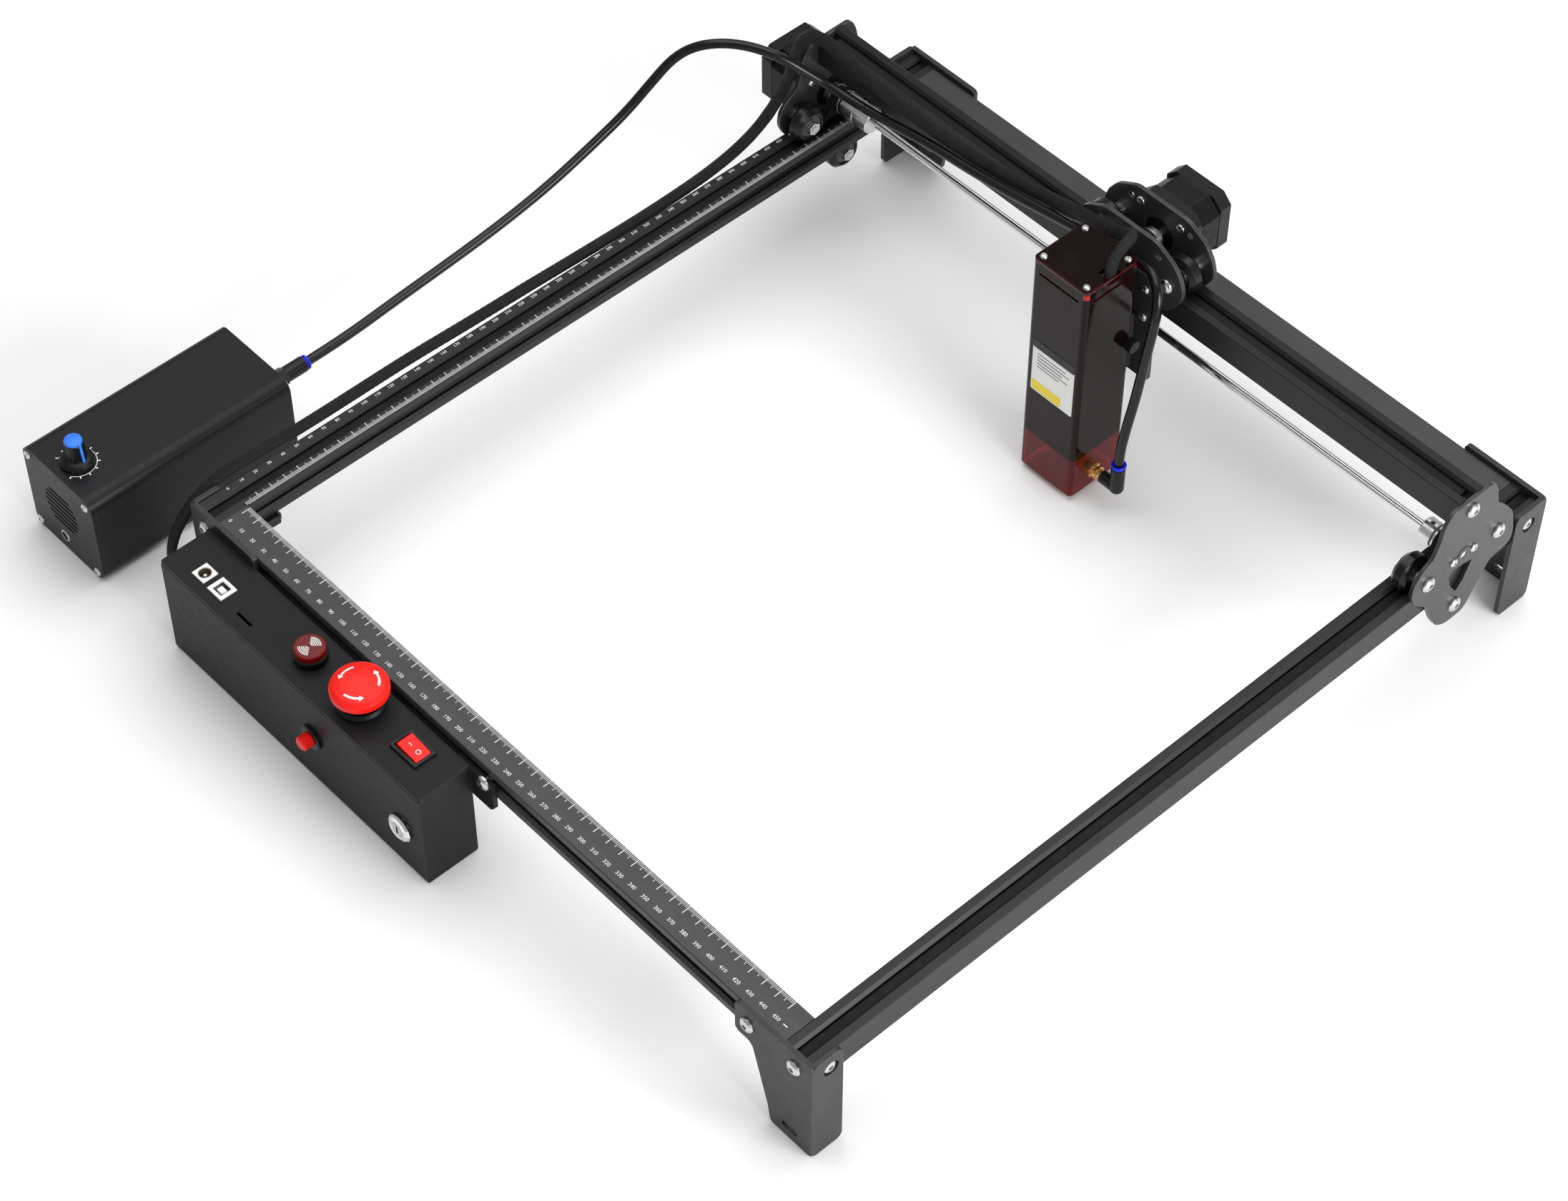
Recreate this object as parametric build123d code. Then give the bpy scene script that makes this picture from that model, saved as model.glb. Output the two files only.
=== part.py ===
"""Desktop diode laser cutter with its air-assist pump, as separate parts, in millimetres.

The parts are drawn in a working frame: x = 0 and y = 0 at the inner front left corner of
the frame opening, z = 0 at the top of the rails, +Y away from the user. place_on_floor
then shifts them all, so that the model's origin is the bottom centre of its own box.
"""
from build123d import *
from math import cos, inf, pi, radians, sin, tan
import os

# ---- driving dimensions ----
RAIL = 20.0                 # side of the square V-slot rails
SPAN_X = 466.0              # opening between the side rails
SPAN_Y = 513.5              # opening between the front and rear rails
FLOOR = -80.0               # table top, below the rail tops
CENTRE_X = SPAN_X / 2
BACK_Y = SPAN_Y + RAIL      # back face of the rear rail
SHEET = 3.0                 # leg sheet
LEG_SCREWS = [(-RAIL / 2, -RAIL / 2), (24.8, -RAIL / 2)]    # x and z in a left leg
PLATE, PLATE_CORNER = 2.5, 16.0      # gantry and carriage plates

GANTRY_Y = 463.5            # gantry centre line at rest
CARRIAGE_X = 241.0          # carriage centre line at rest
SHAFT_Z = 11.7              # drive shaft above the rail tops
BEAM_BASE = 39.0            # underside of the cross beam
BEAM_TOP = BEAM_BASE + RAIL

# V-slot groove: half widths and depths below the face
MOUTH, NECK, CAVITY, FLOOR_HALF = 4.9, 3.1, 5.4, 2.9
LIP_DEPTH, NECK_DEPTH, SLOPE_DEPTH, GROOVE_DEPTH = 1.8, 2.2, 3.6, 6.1
CORE_BORE = 2.1             # bore along the rail's centre

# V-wheels
WHEEL_R, TREAD_HALF, WHEEL_HALF, HUB_HALF = 11.9, 2.4, 5.1, 4.1
WHEEL_SEAT = 9.85           # wheel axis from the rail face it rolls on
WHEEL_Y = 29.2              # gantry wheels before and behind the gantry centre
WHEEL_X = 30.5              # carriage wheels left and right of the carriage centre
GAP = 0.3                   # between parts that move past each other
RUNNING = 0.05              # radial clearance of a shaft in its bore

# Drive train
SHAFT_R = 2.5
PITCH_R = 20 * 2 / (2 * pi)  # 20 teeth of 2 mm pitch
BELT_WIDTH, BELT_THICK, BELT_DEPTH = 6.0, 1.5, 5.0
MOTOR = 42.3                # motor flange side
MOTOR_BOSS_R = 11.0
MOTOR_SCREW = 15.5          # motor screws from its axis, each way

# Fasteners
SCREW_R, HEAD_R, HEAD_H = 2.0, 4.75, 2.75
SMALL_R, SMALL_HEAD_R, SMALL_HEAD_H = 1.4, 2.8, 1.7

# Laser head
HEAD = (220.2, 262.0, 393.3, 434.6)     # x and y limits of the square head
HEAD_BASE, SHIELD_TOP, HEAD_TOP = -76.0, -46.5, 92.2
WALL = 1.8
AIR_Y, AIR_Z, ELBOW_X = 408.0, -59.0, 284.5
AIR_BORE = 1.5
SLIDER = (-6.0, 36.0)                   # lower and upper end of the slider
CLAMP_AT = (431.0, 29.0)                # y and z of the clamp screw
VENT_HALF, VENT_Z = 15.3, (81.9, 83.7)

# Control box
BOX = (-4.7, 222.0, -58.0, -23.0)       # x and y limits
BOX_TOP, BOX_WALL = -6.0, 2.0
STOP_AT, LAMP_AT, ROCKER_AT = (150.5, -39.3), (106.7, -39.3), (193.7, -38.7)
DC_AT, USB_AT = (19.9, -45.6), (35.4, -45.6)
LAMP_SEAT, LAMP_TOP = BOX_TOP + 5.5, BOX_TOP + 9.8
LID_T = 2.0
SHELF = BOX_TOP - LID_T                 # underside of the lid
BOX_SCREW = (8.0, -40.0)                # x and z of the screw from the box into the leg
TAB_SCREW = (233.0, -RAIL / 2)          # x and z of the screw through the box's tab
ROCKER_TILT = 7.0                       # degrees, each side of level
RESET_AT, KEY_AT = (127.0, -40.0), (203.0, -47.0)   # x and z on the front face

# Air pump
PUMP = (-136.5, -70.0, -60.0, 82.0)     # x and y limits
PUMP_TOP, PUMP_CORNER, PUMP_SHEET = -14.0, 8.0, 3.0
KNOB_AT = (-102.5, -45.0)
OUTLET = (-84.0, -23.0)                 # x and z of the air outlet
GRILLE, PUMP_JACK = (-104.5, -45.8), (-106.0, -69.0)     # x and z on the front plate
PUMP_INSET = 5.5                        # end plate screws from the case's sides
PUMP_SCREWS = [(x, z) for x in (PUMP[0] + PUMP_INSET, PUMP[1] - PUMP_INSET)
               for z in (FLOOR + PUMP_INSET, PUMP_TOP - PUMP_INSET)]

# Hose and braided sleeve: routes of the centre lines
HOSE_R, SLEEVE_R = 3.0, 3.5
HOSE_ROUTE = [
    (-84, 102, -23), (-84, 130, -23), (-82.5, 170, -16.5), (-81, 212, -10.5),
    (-79.5, 250, -4), (-78, 286, 5), (-76.5, 318, 17), (-74, 345, 30), (-71, 365, 46),
    (-66, 377, 60), (-57.5, 387, 69), (-45, 398, 73.5), (-31, 409, 73), (-17, 420, 67),
    (-6, 430, 56.5), (5, 439, 47), (21, 444, 42.5), (40, 445, 43), (63, 445, 47.5),
    (90, 445, 51.8), (119, 444, 55.5), (148, 443, 60.5), (176, 442.6, 66),
    (203, 442.8, 71), (226, 441.5, 75), (245, 440.5, 80.5), (258, 439.5, 84.5),
    (270.5, 437.2, 87), (280, 432, 83), (285, 427.3, 73), (285.5, 424.8, 60.5),
    (285.2, 422.5, 45), (285, 419.5, 28), (285, 416, 9), (284.7, 411.5, -10),
    (284.5, AIR_Y, -28), (284.5, AIR_Y, -42)]
SLEEVE_ROUTE = [
    (-4.7, -38, -62), (-17, -38, -62), (-28, -37, -55.5), (-33.5, -35, -43.5),
    (-33, -31, -30), (-31, -24, -17), (-29.5, -13, -6), (-28.5, 3, 0), (-27.5, 26, 0.5),
    (-27, 58, -0.5), (-27, 96, -0.2), (-27, 138, 0.4), (-27, 182, -1.2), (-27, 226, -1.8),
    (-27, 268, -3.2), (-27, 308, -4.1), (-27, 344, -3.6), (-27, 374, -1.4), (-27, 398, 4),
    (-27, 415, 12.5), (-27, 427.5, 23.5), (-27, 436, 36), (-26.8, 440.3, 49.5),
    (-25, 442.8, 60), (-18.8, 445.3, 67.3), (-9.5, 447.5, 69.3), (1.5, 448.9, 66.8),
    (14, 449.5, 62.8), (38, 449.5, 59.5), (66, 449.5, 58.6), (98, 449.6, 59.2),
    (130, 449.8, 61), (158, 449.8, 65), (182, 449.2, 71.5), (203, 445.3, 80.5),
    (225, 443.3, 87), (240, 442.6, 91), (250, 441, 98), (254.3, 437.6, 103.6),
    (257, 431.7, 106.8), (258.3, 424.9, 106.8), (258.5, 419, 103.3), (258.5, 415.5, 97.4),
    (258.5, 415.5, 90)]
# The runs, counted from the start of a route, in whose middle the cords are cut into
# the lengths that belong to the frame, the gantry and the head
HOSE_CUTS = (17, 24)
SLEEVE_CUTS = (28, 35)

DIRECTION = {"x": Vector(1, 0, 0), "y": Vector(0, 1, 0), "z": Vector(0, 0, 1)}
nodes = {}


# ---- shared shapes ----
def at(axis, along, a, b):
    """A point from its place along an axis and its two other coordinates, in x, y, z order."""
    return {"x": (along, a, b), "y": (a, along, b), "z": (a, b, along)}[axis]


def block(x0, x1, y0, y1, z0, z1):
    centre = Pos((x0 + x1) / 2, (y0 + y1) / 2, (z0 + z1) / 2)
    return centre * Box(x1 - x0, y1 - y0, z1 - z0)


def rod(axis, place, start, end, radius):
    """A cylinder along an axis; place is its two other coordinates."""
    low, high = min(start, end), max(start, end)
    plane = Plane(origin=at(axis, low, *place), z_dir=DIRECTION[axis])
    return plane * Cylinder(radius, high - low, align=(Align.CENTER, Align.CENTER, Align.MIN))


def turned(axis, place, profile):
    """A profile of (along, radius) points turned about an axis."""
    outline = Polyline(*[(radius, 0, along) for along, radius in profile], close=True)
    solid = revolve(make_face(outline), Axis.Z)
    return Plane(origin=at(axis, 0, *place), z_dir=DIRECTION[axis]) * solid


def turn_at(before, corner, after):
    """The angle through which a route turns at a corner, in degrees."""
    return (Vector(*corner) - Vector(*before)).get_angle(Vector(*after) - Vector(*corner))


def corner_radii(points, widest=inf, closed=False):
    """The largest arc that each corner's two runs allow, up to widest."""
    count = len(points)
    corners = range(count) if closed else range(1, count - 1)
    radii = []
    for i in corners:
        before, corner, after = points[i - 1], points[i], points[(i + 1) % count]
        shorter = min((Vector(*corner) - Vector(*before)).length,
                      (Vector(*after) - Vector(*corner)).length)
        half_turn = radians(turn_at(before, corner, after)) / 2
        radii.append(min(widest, 0.45 * shorter / tan(half_turn)))
    return radii


def prism(axis, outline, start, end, corner=0.0):
    """An outline drawn across an axis, with rounded corners, pushed along it."""
    points = [at(axis, start, a, b) for a, b in outline]
    if corner:
        edge = FilletPolyline(*points, radius=corner_radii(points, corner, True), close=True)
    else:
        edge = Polyline(*points, close=True)
    return extrude(make_face(edge), amount=end - start, dir=DIRECTION[axis])


def rectangle(a0, a1, b0, b1):
    return [(a0, b0), (a1, b0), (a1, b1), (a0, b1)]


def slot(axis, start, end, a0, a1, b, width):
    """A round-ended slot cutter from a0 to a1, running along the first other axis."""
    half = width / 2
    body = rod(axis, (a0 + half, b), start, end, half) + rod(axis, (a1 - half, b), start, end, half)
    return body + prism(axis, rectangle(a0 + half, a1 - half, b - half, b + half), start, end)


def button_head(axis, place, face, side, radius, height):
    """A screw's domed head with its hexagon socket."""
    profile = [(face, 0), (face, radius), (face + side * 0.35 * height, radius),
               (face + side * 0.6 * height, 0.92 * radius), (face + side * 0.82 * height, 0.75 * radius),
               (face + side * height, 0.48 * radius), (face + side * height, 0)]
    start = face + side * 0.4 * height
    plane = Plane(origin=at(axis, start, *place), z_dir=side * DIRECTION[axis])
    socket = plane * extrude(RegularPolygon(0.36 * radius, 6), height)
    return turned(axis, place, profile) - socket


def screw(axis, place, face, side, length, small=False):
    """A button head screw; side +1 puts its head beyond the face along +axis."""
    shank, head, height = (SMALL_R, SMALL_HEAD_R, SMALL_HEAD_H) if small else (SCREW_R, HEAD_R, HEAD_H)
    return button_head(axis, place, face, side, head, height) + rod(axis, place, face - side * length,
                                                                    face, shank)


def group(shapes):
    """Separate solids that share one node."""
    return Compound(children=[solid for shape in shapes for solid in shape.solids()])


# ---- frame ----
def grooved_rail(axis, place, start, end, sides):
    """A square V-slot rail; sides are the quarter turns, from +b, that carry a groove."""
    half = RAIL / 2
    body = prism(axis, rectangle(place[0] - half, place[0] + half, place[1] - half, place[1] + half),
                 start, end, 0.8)
    depths = [(MOUTH + 1, -1), (MOUTH, 0), (NECK, LIP_DEPTH), (NECK, NECK_DEPTH), (CAVITY, NECK_DEPTH),
              (CAVITY, SLOPE_DEPTH), (FLOOR_HALF, GROOVE_DEPTH)]
    right = [(width, half - depth) for width, depth in depths]
    groove = right + [(-a, b) for a, b in reversed(right)]
    for quarter in sides:
        angle = quarter * pi / 2
        turned_groove = [(place[0] + a * cos(angle) + b * sin(angle),
                          place[1] - a * sin(angle) + b * cos(angle)) for a, b in groove]
        body -= prism(axis, turned_groove, start, end)
    return body - rod(axis, place, start, end, CORE_BORE)


def leg_profile(top):
    """Front sheet of a leg: distance in from the outer corner, and height."""
    return [(0, top), (0, FLOOR), (31.5, FLOOR), (33.3, -67.3), (44.2, -27), (47, -23.8),
            (55.6, -23.8), (57.7, -21.5), (57.7, top)]


def leg(top, flange):
    """A bent sheet leg for the front left corner."""
    outer, front = -RAIL - SHEET, -RAIL - SHEET
    sheet = prism("y", [(outer + u, z) for u, z in leg_profile(top)], front, -RAIL, 3)
    side = prism("x", rectangle(front, front + flange, FLOOR, top), outer, -RAIL, 4)
    body = sheet + side
    body -= slot("y", front - 1, -RAIL + 1, outer + 11, outer + 23, -71.5, 5)
    for place in LEG_SCREWS:
        body -= rod("y", place, front - 1, -RAIL + 1, SCREW_R + 0.2)
    return body - rod("x", (-RAIL / 2, -RAIL / 2), outer - 1, -RAIL + 1, HEAD_R + 0.4)


def build_frame():
    half = RAIL / 2
    for name, x, sides in (("left_rail", -half, (0, 1, 2)), ("right_rail", SPAN_X + half, (0, 2, 3))):
        nodes[name] = grooved_rail("y", (x, -half), -RAIL, BACK_Y, sides)
    nodes["front_rail"] = grooved_rail("x", (-half, -half), 0, SPAN_X, (2, 3))
    nodes["rear_rail"] = grooved_rail("x", (SPAN_Y + half, -half), 0, SPAN_X, (1, 2))
    across_x = Plane.YZ.offset(CENTRE_X)
    across_y = Plane.XZ.offset(-(BACK_Y - RAIL) / 2)
    front = leg(1.0, 21.2)
    rear = mirror(leg(3.5, 25.5), about=across_y)
    front_left = front - rod("y", BOX_SCREW, -RAIL - SHEET - 1, -RAIL + 1, SCREW_R + 0.2)
    nodes["front_legs"] = group([front_left, mirror(front, about=across_x)])
    nodes["rear_legs"] = group([rear, mirror(rear, about=across_x)])
    belt = [block(x - BELT_WIDTH / 2, x + BELT_WIDTH / 2, -RAIL, BACK_Y, -BELT_DEPTH,
                  BELT_THICK - BELT_DEPTH) for x in (-half, SPAN_X + half)]
    nodes["y_belts"] = group(belt)
    nodes["frame_screws"] = group(frame_screws())


def frame_screws():
    """Every screw of the legs, the control box and the pump."""
    half, front, back = RAIL / 2, -RAIL - SHEET, BACK_Y + SHEET
    screws = []
    for side_x in (0, 1):
        for x, z in LEG_SCREWS:
            x = SPAN_X - x if side_x else x
            screws.append(screw("y", (x, z), back, 1, 9))
            if side_x or x < 0:
                screws.append(screw("y", (x, z), front, -1, 9))
        for y in (-half, SPAN_Y + half):
            face, side = (SPAN_X + RAIL, 1) if side_x else (-RAIL, -1)
            screws.append(button_head("x", (y, -half), face, side, HEAD_R, HEAD_H))
    screws.append(screw("y", BOX_SCREW, BOX[3] - BOX_WALL, -1, 9))
    screws.append(screw("y", TAB_SCREW, front, -1, 9))
    behind_leg = Plane(origin=at("y", -RAIL, *BOX_SCREW), z_dir=DIRECTION["y"])
    nut = behind_leg * extrude(RegularPolygon(4.4, 6), 3.2)
    screws.append(nut - rod("y", BOX_SCREW, front, 0, SCREW_R))
    for pump_screw in PUMP_SCREWS:
        screws.append(screw("y", pump_screw, PUMP[2], -1, 6, small=True))
        screws.append(screw("y", pump_screw, PUMP[3], 1, 6, small=True))
    return screws


# ---- gantry ----
PLATE_OUTLINE = [        # y and z of the gantry side plates, from the front top corner
    (447, 57.5), (481, 58), (484.8, 49.5), (488, 35), (492.3, 31), (497.7, 26), (504, 17),
    (507.7, 1), (508, -8), (504.5, -11.3), (491.6, -11.5), (485.5, -21.7), (478, -36),
    (473.9, -42.7), (458.6, -43.4), (449.9, -38), (444, -28), (437.3, -12), (425.5, -1.2),
    (421.4, 8), (423, 18), (428.3, 23.6), (436.4, 28.5), (440.1, 39), (441.3, 50)]
PLATE_WINDOW = [(473.5, 0.8), (456.7, 4.4), (453.4, -0.6), (456.9, -10), (463, -19.5),
                (467.8, -13.2)]
WHEEL_BOLTS = [(GANTRY_Y - WHEEL_Y, WHEEL_SEAT), (GANTRY_Y + WHEEL_Y, WHEEL_SEAT),
               (GANTRY_Y, -RAIL - WHEEL_SEAT)]
WHEEL_NAMES = ["front", "rear", "lower"]
BEAM_SCREW = (GANTRY_Y, BEAM_BASE + RAIL / 2)
LEFT_FACE, RIGHT_FACE = -RAIL - SHEET + PLATE, SPAN_X + RAIL + SHEET - PLATE   # inner faces
BEARING_SCREW = 8.3         # each side of the shaft
MOTOR_SPINDLE = 6.5         # end of the Y motor's spindle inside the coupler
SET_SCREW_R = 1.5
SHAFT_AXIS = (GANTRY_Y, SHAFT_Z)


def v_wheel(axis, place, centre):
    """A V-wheel with recessed hubs."""
    seat = WHEEL_R - (WHEEL_HALF - TREAD_HALF)
    half = [(HUB_HALF, SHAFT_R + RUNNING), (HUB_HALF, 7.5), (WHEEL_HALF, 8.1), (WHEEL_HALF, seat),
            (TREAD_HALF, WHEEL_R)]
    whole = half + [(-a, r) for a, r in reversed(half)]
    return turned(axis, place, [(centre + a, r) for a, r in whole])


def wheel_bolt(axis, place, outer, inner, side, centre):
    """A button head bolt with its spacer and lock nut, running from the plate's outer face."""
    hub, length = HUB_HALF + 0.25, abs(centre - outer) + WHEEL_HALF + 3
    bolt = screw(axis, place, outer, -side, length)
    sleeve = rod(axis, place, outer + side * PLATE, outer + side * (length - 0.6), SHAFT_R)
    sleeve -= rod(axis, place, outer - side, outer + side * (length + 1), SCREW_R)
    spacer = rod(axis, place, inner, centre - side * hub, 4.6)
    spacer -= rod(axis, place, inner - side, centre, SHAFT_R)
    plane = Plane(origin=at(axis, centre + side * hub, *place), z_dir=side * DIRECTION[axis])
    nut = plane * extrude(RegularPolygon(4.4, 6), 3.4)
    nut -= rod(axis, place, centre, centre + side * length, SHAFT_R)
    return [bolt, sleeve, spacer, nut]


def gantry_plate(left):
    """A side plate; the left one carries the motor, the right one the shaft's bearing."""
    outer, inner = (LEFT_FACE - PLATE, LEFT_FACE) if left else (RIGHT_FACE, RIGHT_FACE + PLATE)
    body = prism("x", PLATE_OUTLINE, outer, inner, PLATE_CORNER)
    cut = (outer - 1, inner + 1)
    for place in WHEEL_BOLTS + [BEAM_SCREW]:
        body -= rod("x", place, *cut, SCREW_R + 0.2)
    if left:
        body -= rod("x", (GANTRY_Y, SHAFT_Z), *cut, MOTOR_BOSS_R + 0.2)
        for y, z in motor_screws(GANTRY_Y, SHAFT_Z):
            body -= rod("x", (y, z), *cut, SMALL_R + 0.2)
    else:
        body -= prism("x", PLATE_WINDOW, *cut, 1.5)
        body -= rod("x", (GANTRY_Y, SHAFT_Z), *cut, 5.7)
        for side in (-1, 1):
            body -= rod("x", (GANTRY_Y + side * BEARING_SCREW, SHAFT_Z), *cut, SMALL_R + 0.2)
    return body


def motor_screws(a, b):
    return [(a + i * MOTOR_SCREW, b + j * MOTOR_SCREW) for i in (-1, 1) for j in (-1, 1)]


def cut_square(a, b, half, cut):
    """A square outline with cut corners."""
    inner = half - cut
    corner = [(half, -inner), (half, inner), (inner, half), (-inner, half)]
    return [(a + i, b + j) for i, j in corner] + [(a - i, b - j) for i, j in corner]


def motor(axis, place, face, side, length, reach):
    """A stepper motor behind a face, with a bore as deep as its spindle reaches."""
    a, b = place
    cap = 8.5
    stops = [face, face - side * cap, face - side * (length - cap), face - side * length]
    body = prism(axis, cut_square(a, b, MOTOR / 2, 6.5), *sorted(stops[:2]))
    body += prism(axis, cut_square(a, b, MOTOR / 2 - 0.4, 9.5), *sorted(stops[1:3]))
    body += prism(axis, cut_square(a, b, MOTOR / 2, 6.5), *sorted(stops[2:]))
    body += rod(axis, place, face, face + side * 2, MOTOR_BOSS_R)
    body -= rod(axis, place, face + side * 3, face - side * reach, SHAFT_R + RUNNING)
    for y, z in motor_screws(a, b):
        body -= rod(axis, (y, z), face + side, face - side * 4.5, SMALL_R + 0.1)
    return body


def pulley(axis, place, teeth_at, hub_side, hub_length):
    """A 20 tooth belt pulley with two flanges and a hub."""
    half, flange, tooth_r, flange_r = 3.4, 1.2, PITCH_R - 0.4, 8.0
    profile = [(-half - flange, flange_r), (-half, flange_r), (-half, tooth_r), (half, tooth_r),
               (half, flange_r), (half + flange, flange_r), (half + flange, 7),
               (half + flange + hub_length, 7)]
    outline = [(-half - flange, 0)] + profile + [(half + flange + hub_length, 0)]
    body = turned(axis, place, [(teeth_at + hub_side * a, r) for a, r in outline])
    for i in range(20):
        angle = 2 * pi * i / 20
        groove = (place[0] + (tooth_r + 0.25) * cos(angle), place[1] + (tooth_r + 0.25) * sin(angle))
        body -= rod(axis, groove, teeth_at - half, teeth_at + half, 0.6)
    return body


def build_gantry():
    left_outer, right_outer = LEFT_FACE - PLATE, RIGHT_FACE + PLATE
    nodes["left_plate"] = gantry_plate(left=True)
    nodes["right_plate"] = gantry_plate(left=False)
    nodes["x_beam"] = grooved_rail("x", BEAM_SCREW, LEFT_FACE, RIGHT_FACE, (0, 2))
    nodes["y_motor"] = motor("x", SHAFT_AXIS, left_outer, 1, 36, 24)
    belt_top = BEAM_TOP - BELT_DEPTH + BELT_THICK
    nodes["x_belt"] = block(LEFT_FACE + 6, RIGHT_FACE - 6, GANTRY_Y - BELT_WIDTH / 2,
                            GANTRY_Y + BELT_WIDTH / 2, BEAM_TOP - BELT_DEPTH, belt_top)
    holder = prism("x", [(GANTRY_Y - 12, SHAFT_Z - 4), (GANTRY_Y - 12, SHAFT_Z + 4),
                         (GANTRY_Y - 5, SHAFT_Z + 7.5), (GANTRY_Y + 5, SHAFT_Z + 7.5),
                         (GANTRY_Y + 12, SHAFT_Z + 4), (GANTRY_Y + 12, SHAFT_Z - 4),
                         (GANTRY_Y + 5, SHAFT_Z - 7.5), (GANTRY_Y - 5, SHAFT_Z - 7.5)],
                   RIGHT_FACE - 3.5, RIGHT_FACE, 3)
    holder += rod("x", SHAFT_AXIS, RIGHT_FACE - 1, right_outer + 0.4, 5.5)
    holder -= rod("x", SHAFT_AXIS, RIGHT_FACE - 5, right_outer + 2, SHAFT_R + RUNNING)
    for side in (-1, 1):
        screw_place = (GANTRY_Y + side * BEARING_SCREW, SHAFT_Z)
        holder -= rod("x", screw_place, RIGHT_FACE - 5, right_outer, SMALL_R + 0.05)
    nodes["shaft_bearing"] = holder
    nodes["gantry_bolts"] = group(gantry_bolts())
    wheel_planes = (-RAIL / 2, SPAN_X + RAIL / 2)
    for name, place in zip(WHEEL_NAMES, WHEEL_BOLTS):
        nodes[name + "_wheels"] = group([v_wheel("x", place, x) for x in wheel_planes])


def gantry_bolts():
    left_outer, right_outer = LEFT_FACE - PLATE, RIGHT_FACE + PLATE
    bolts = []
    for place in WHEEL_BOLTS:
        bolts += wheel_bolt("x", place, left_outer, LEFT_FACE, 1, -RAIL / 2)
        bolts += wheel_bolt("x", place, right_outer, RIGHT_FACE, -1, SPAN_X + RAIL / 2)
    bolts.append(screw("x", BEAM_SCREW, left_outer, -1, 12))
    bolts.append(screw("x", BEAM_SCREW, right_outer, 1, 12))
    for place in motor_screws(*SHAFT_AXIS):
        if place[1] > 0:
            bolts.append(screw("x", place, LEFT_FACE, 1, PLATE + 4, small=True))
        else:                   # beside the rail, so sunk into the plate
            bolts.append(rod("x", place, LEFT_FACE - 0.2, left_outer - 4, SMALL_R))
    for side in (-1, 1):
        place = (GANTRY_Y + side * BEARING_SCREW, SHAFT_Z)
        bolts.append(screw("x", place, right_outer, 1, PLATE + 3, small=True))
    return bolts


def build_drive_shaft():
    """The motor's spindle and the long rod that turns both side pulleys."""
    spindle = rod("x", SHAFT_AXIS, LEFT_FACE - PLATE - 22, MOTOR_SPINDLE, SHAFT_R)
    long_rod = rod("x", SHAFT_AXIS, MOTOR_SPINDLE + 1, RIGHT_FACE + PLATE, SHAFT_R)
    nodes["drive_rod"] = group([spindle, long_rod])
    bore = rod("x", SHAFT_AXIS, -40, 500, SHAFT_R + RUNNING)
    coupler = turned("x", SHAFT_AXIS, [(-4.6, 0), (-4.6, 7.4), (-4, 8), (6.4, 8), (6.4, 7.4), (7.6, 7.4),
                                       (7.6, 8), (18.4, 8), (19, 7.4), (19, 0)]) - bore
    collar = turned("x", SHAFT_AXIS, [(461.5, 0), (461.5, 6.8), (462, 7.25), (469.6, 7.25), (470, 6.8),
                                      (470, 0)]) - bore
    for x in (-2, 16):
        coupler -= rod("z", (x, GANTRY_Y), SHAFT_Z, SHAFT_Z + 10, SET_SCREW_R)
    collar -= rod("z", (466, GANTRY_Y), SHAFT_Z, SHAFT_Z + 10, SET_SCREW_R)
    nodes["shaft_couplings"] = group([coupler, collar])
    left = pulley("x", SHAFT_AXIS, -RAIL / 2, -1, 4.6) - bore
    right = pulley("x", SHAFT_AXIS, SPAN_X + RAIL / 2, 1, 1.2) - bore
    nodes["y_pulleys"] = group([left, right])


# ---- carriage ----
HALF_CARRIAGE = [(0, 94.5), (20, 94.5), (35, 86), (40.5, 78), (43, 70), (42, 63.5), (36.5, 54.5),
                 (27, 46.5), (15, 37), (13, 28), (9.5, 19.6)]
CARRIAGE_FRONT = GANTRY_Y - 14          # front face of the front plate
CARRIAGE_REAR = GANTRY_Y + 14           # rear face of the rear plate
UPPER_WHEEL_Z = BEAM_TOP + WHEEL_SEAT
LOWER_WHEEL_Z = BEAM_BASE - WHEEL_SEAT
X_MOTOR_AXIS = (CARRIAGE_X, 70.5)
CARRIAGE_WHEELS = {"left": (CARRIAGE_X - WHEEL_X, UPPER_WHEEL_Z),
                   "right": (CARRIAGE_X + WHEEL_X, UPPER_WHEEL_Z),
                   "lower": (CARRIAGE_X, LOWER_WHEEL_Z)}
SPARE_HOLES = [(CARRIAGE_X - 23, 85), (CARRIAGE_X + 23, 85)]
MOUNT_HALF, MOUNT_BASE, MOUNT_TOP, MOUNT_T = 25.5, -10.0, 70.0, 4.0
MOUNT_SCREWS = [(-19, 38), (19, 38), (-19, 60), (19, 60)]    # x from the centre, and z
MOUNT_FRONT = CARRIAGE_FRONT - MOUNT_T


def carriage_plate(front):
    face = CARRIAGE_FRONT if front else CARRIAGE_REAR - PLATE
    right = [(CARRIAGE_X + dx, z) for dx, z in HALF_CARRIAGE[1:]]
    left = [(CARRIAGE_X - dx, z) for dx, z in reversed(HALF_CARRIAGE[1:])]
    body = prism("y", right + [(CARRIAGE_X, 16.3)] + left, face, face + PLATE, PLATE_CORNER)
    cut = (face - 1, face + PLATE + 1)
    for place in list(CARRIAGE_WHEELS.values()) + SPARE_HOLES:
        body -= rod("y", place, *cut, SCREW_R + 0.2)
    if front:
        for dx, z in MOUNT_SCREWS:
            body -= rod("y", (CARRIAGE_X + dx, z), *cut, SMALL_R + 0.2)
    else:
        body -= rod("y", X_MOTOR_AXIS, *cut, MOTOR_BOSS_R + 0.2)
        for place in motor_screws(*X_MOTOR_AXIS)[1::2]:
            body -= rod("y", place, *cut, SMALL_R + 0.2)
    return body


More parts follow.
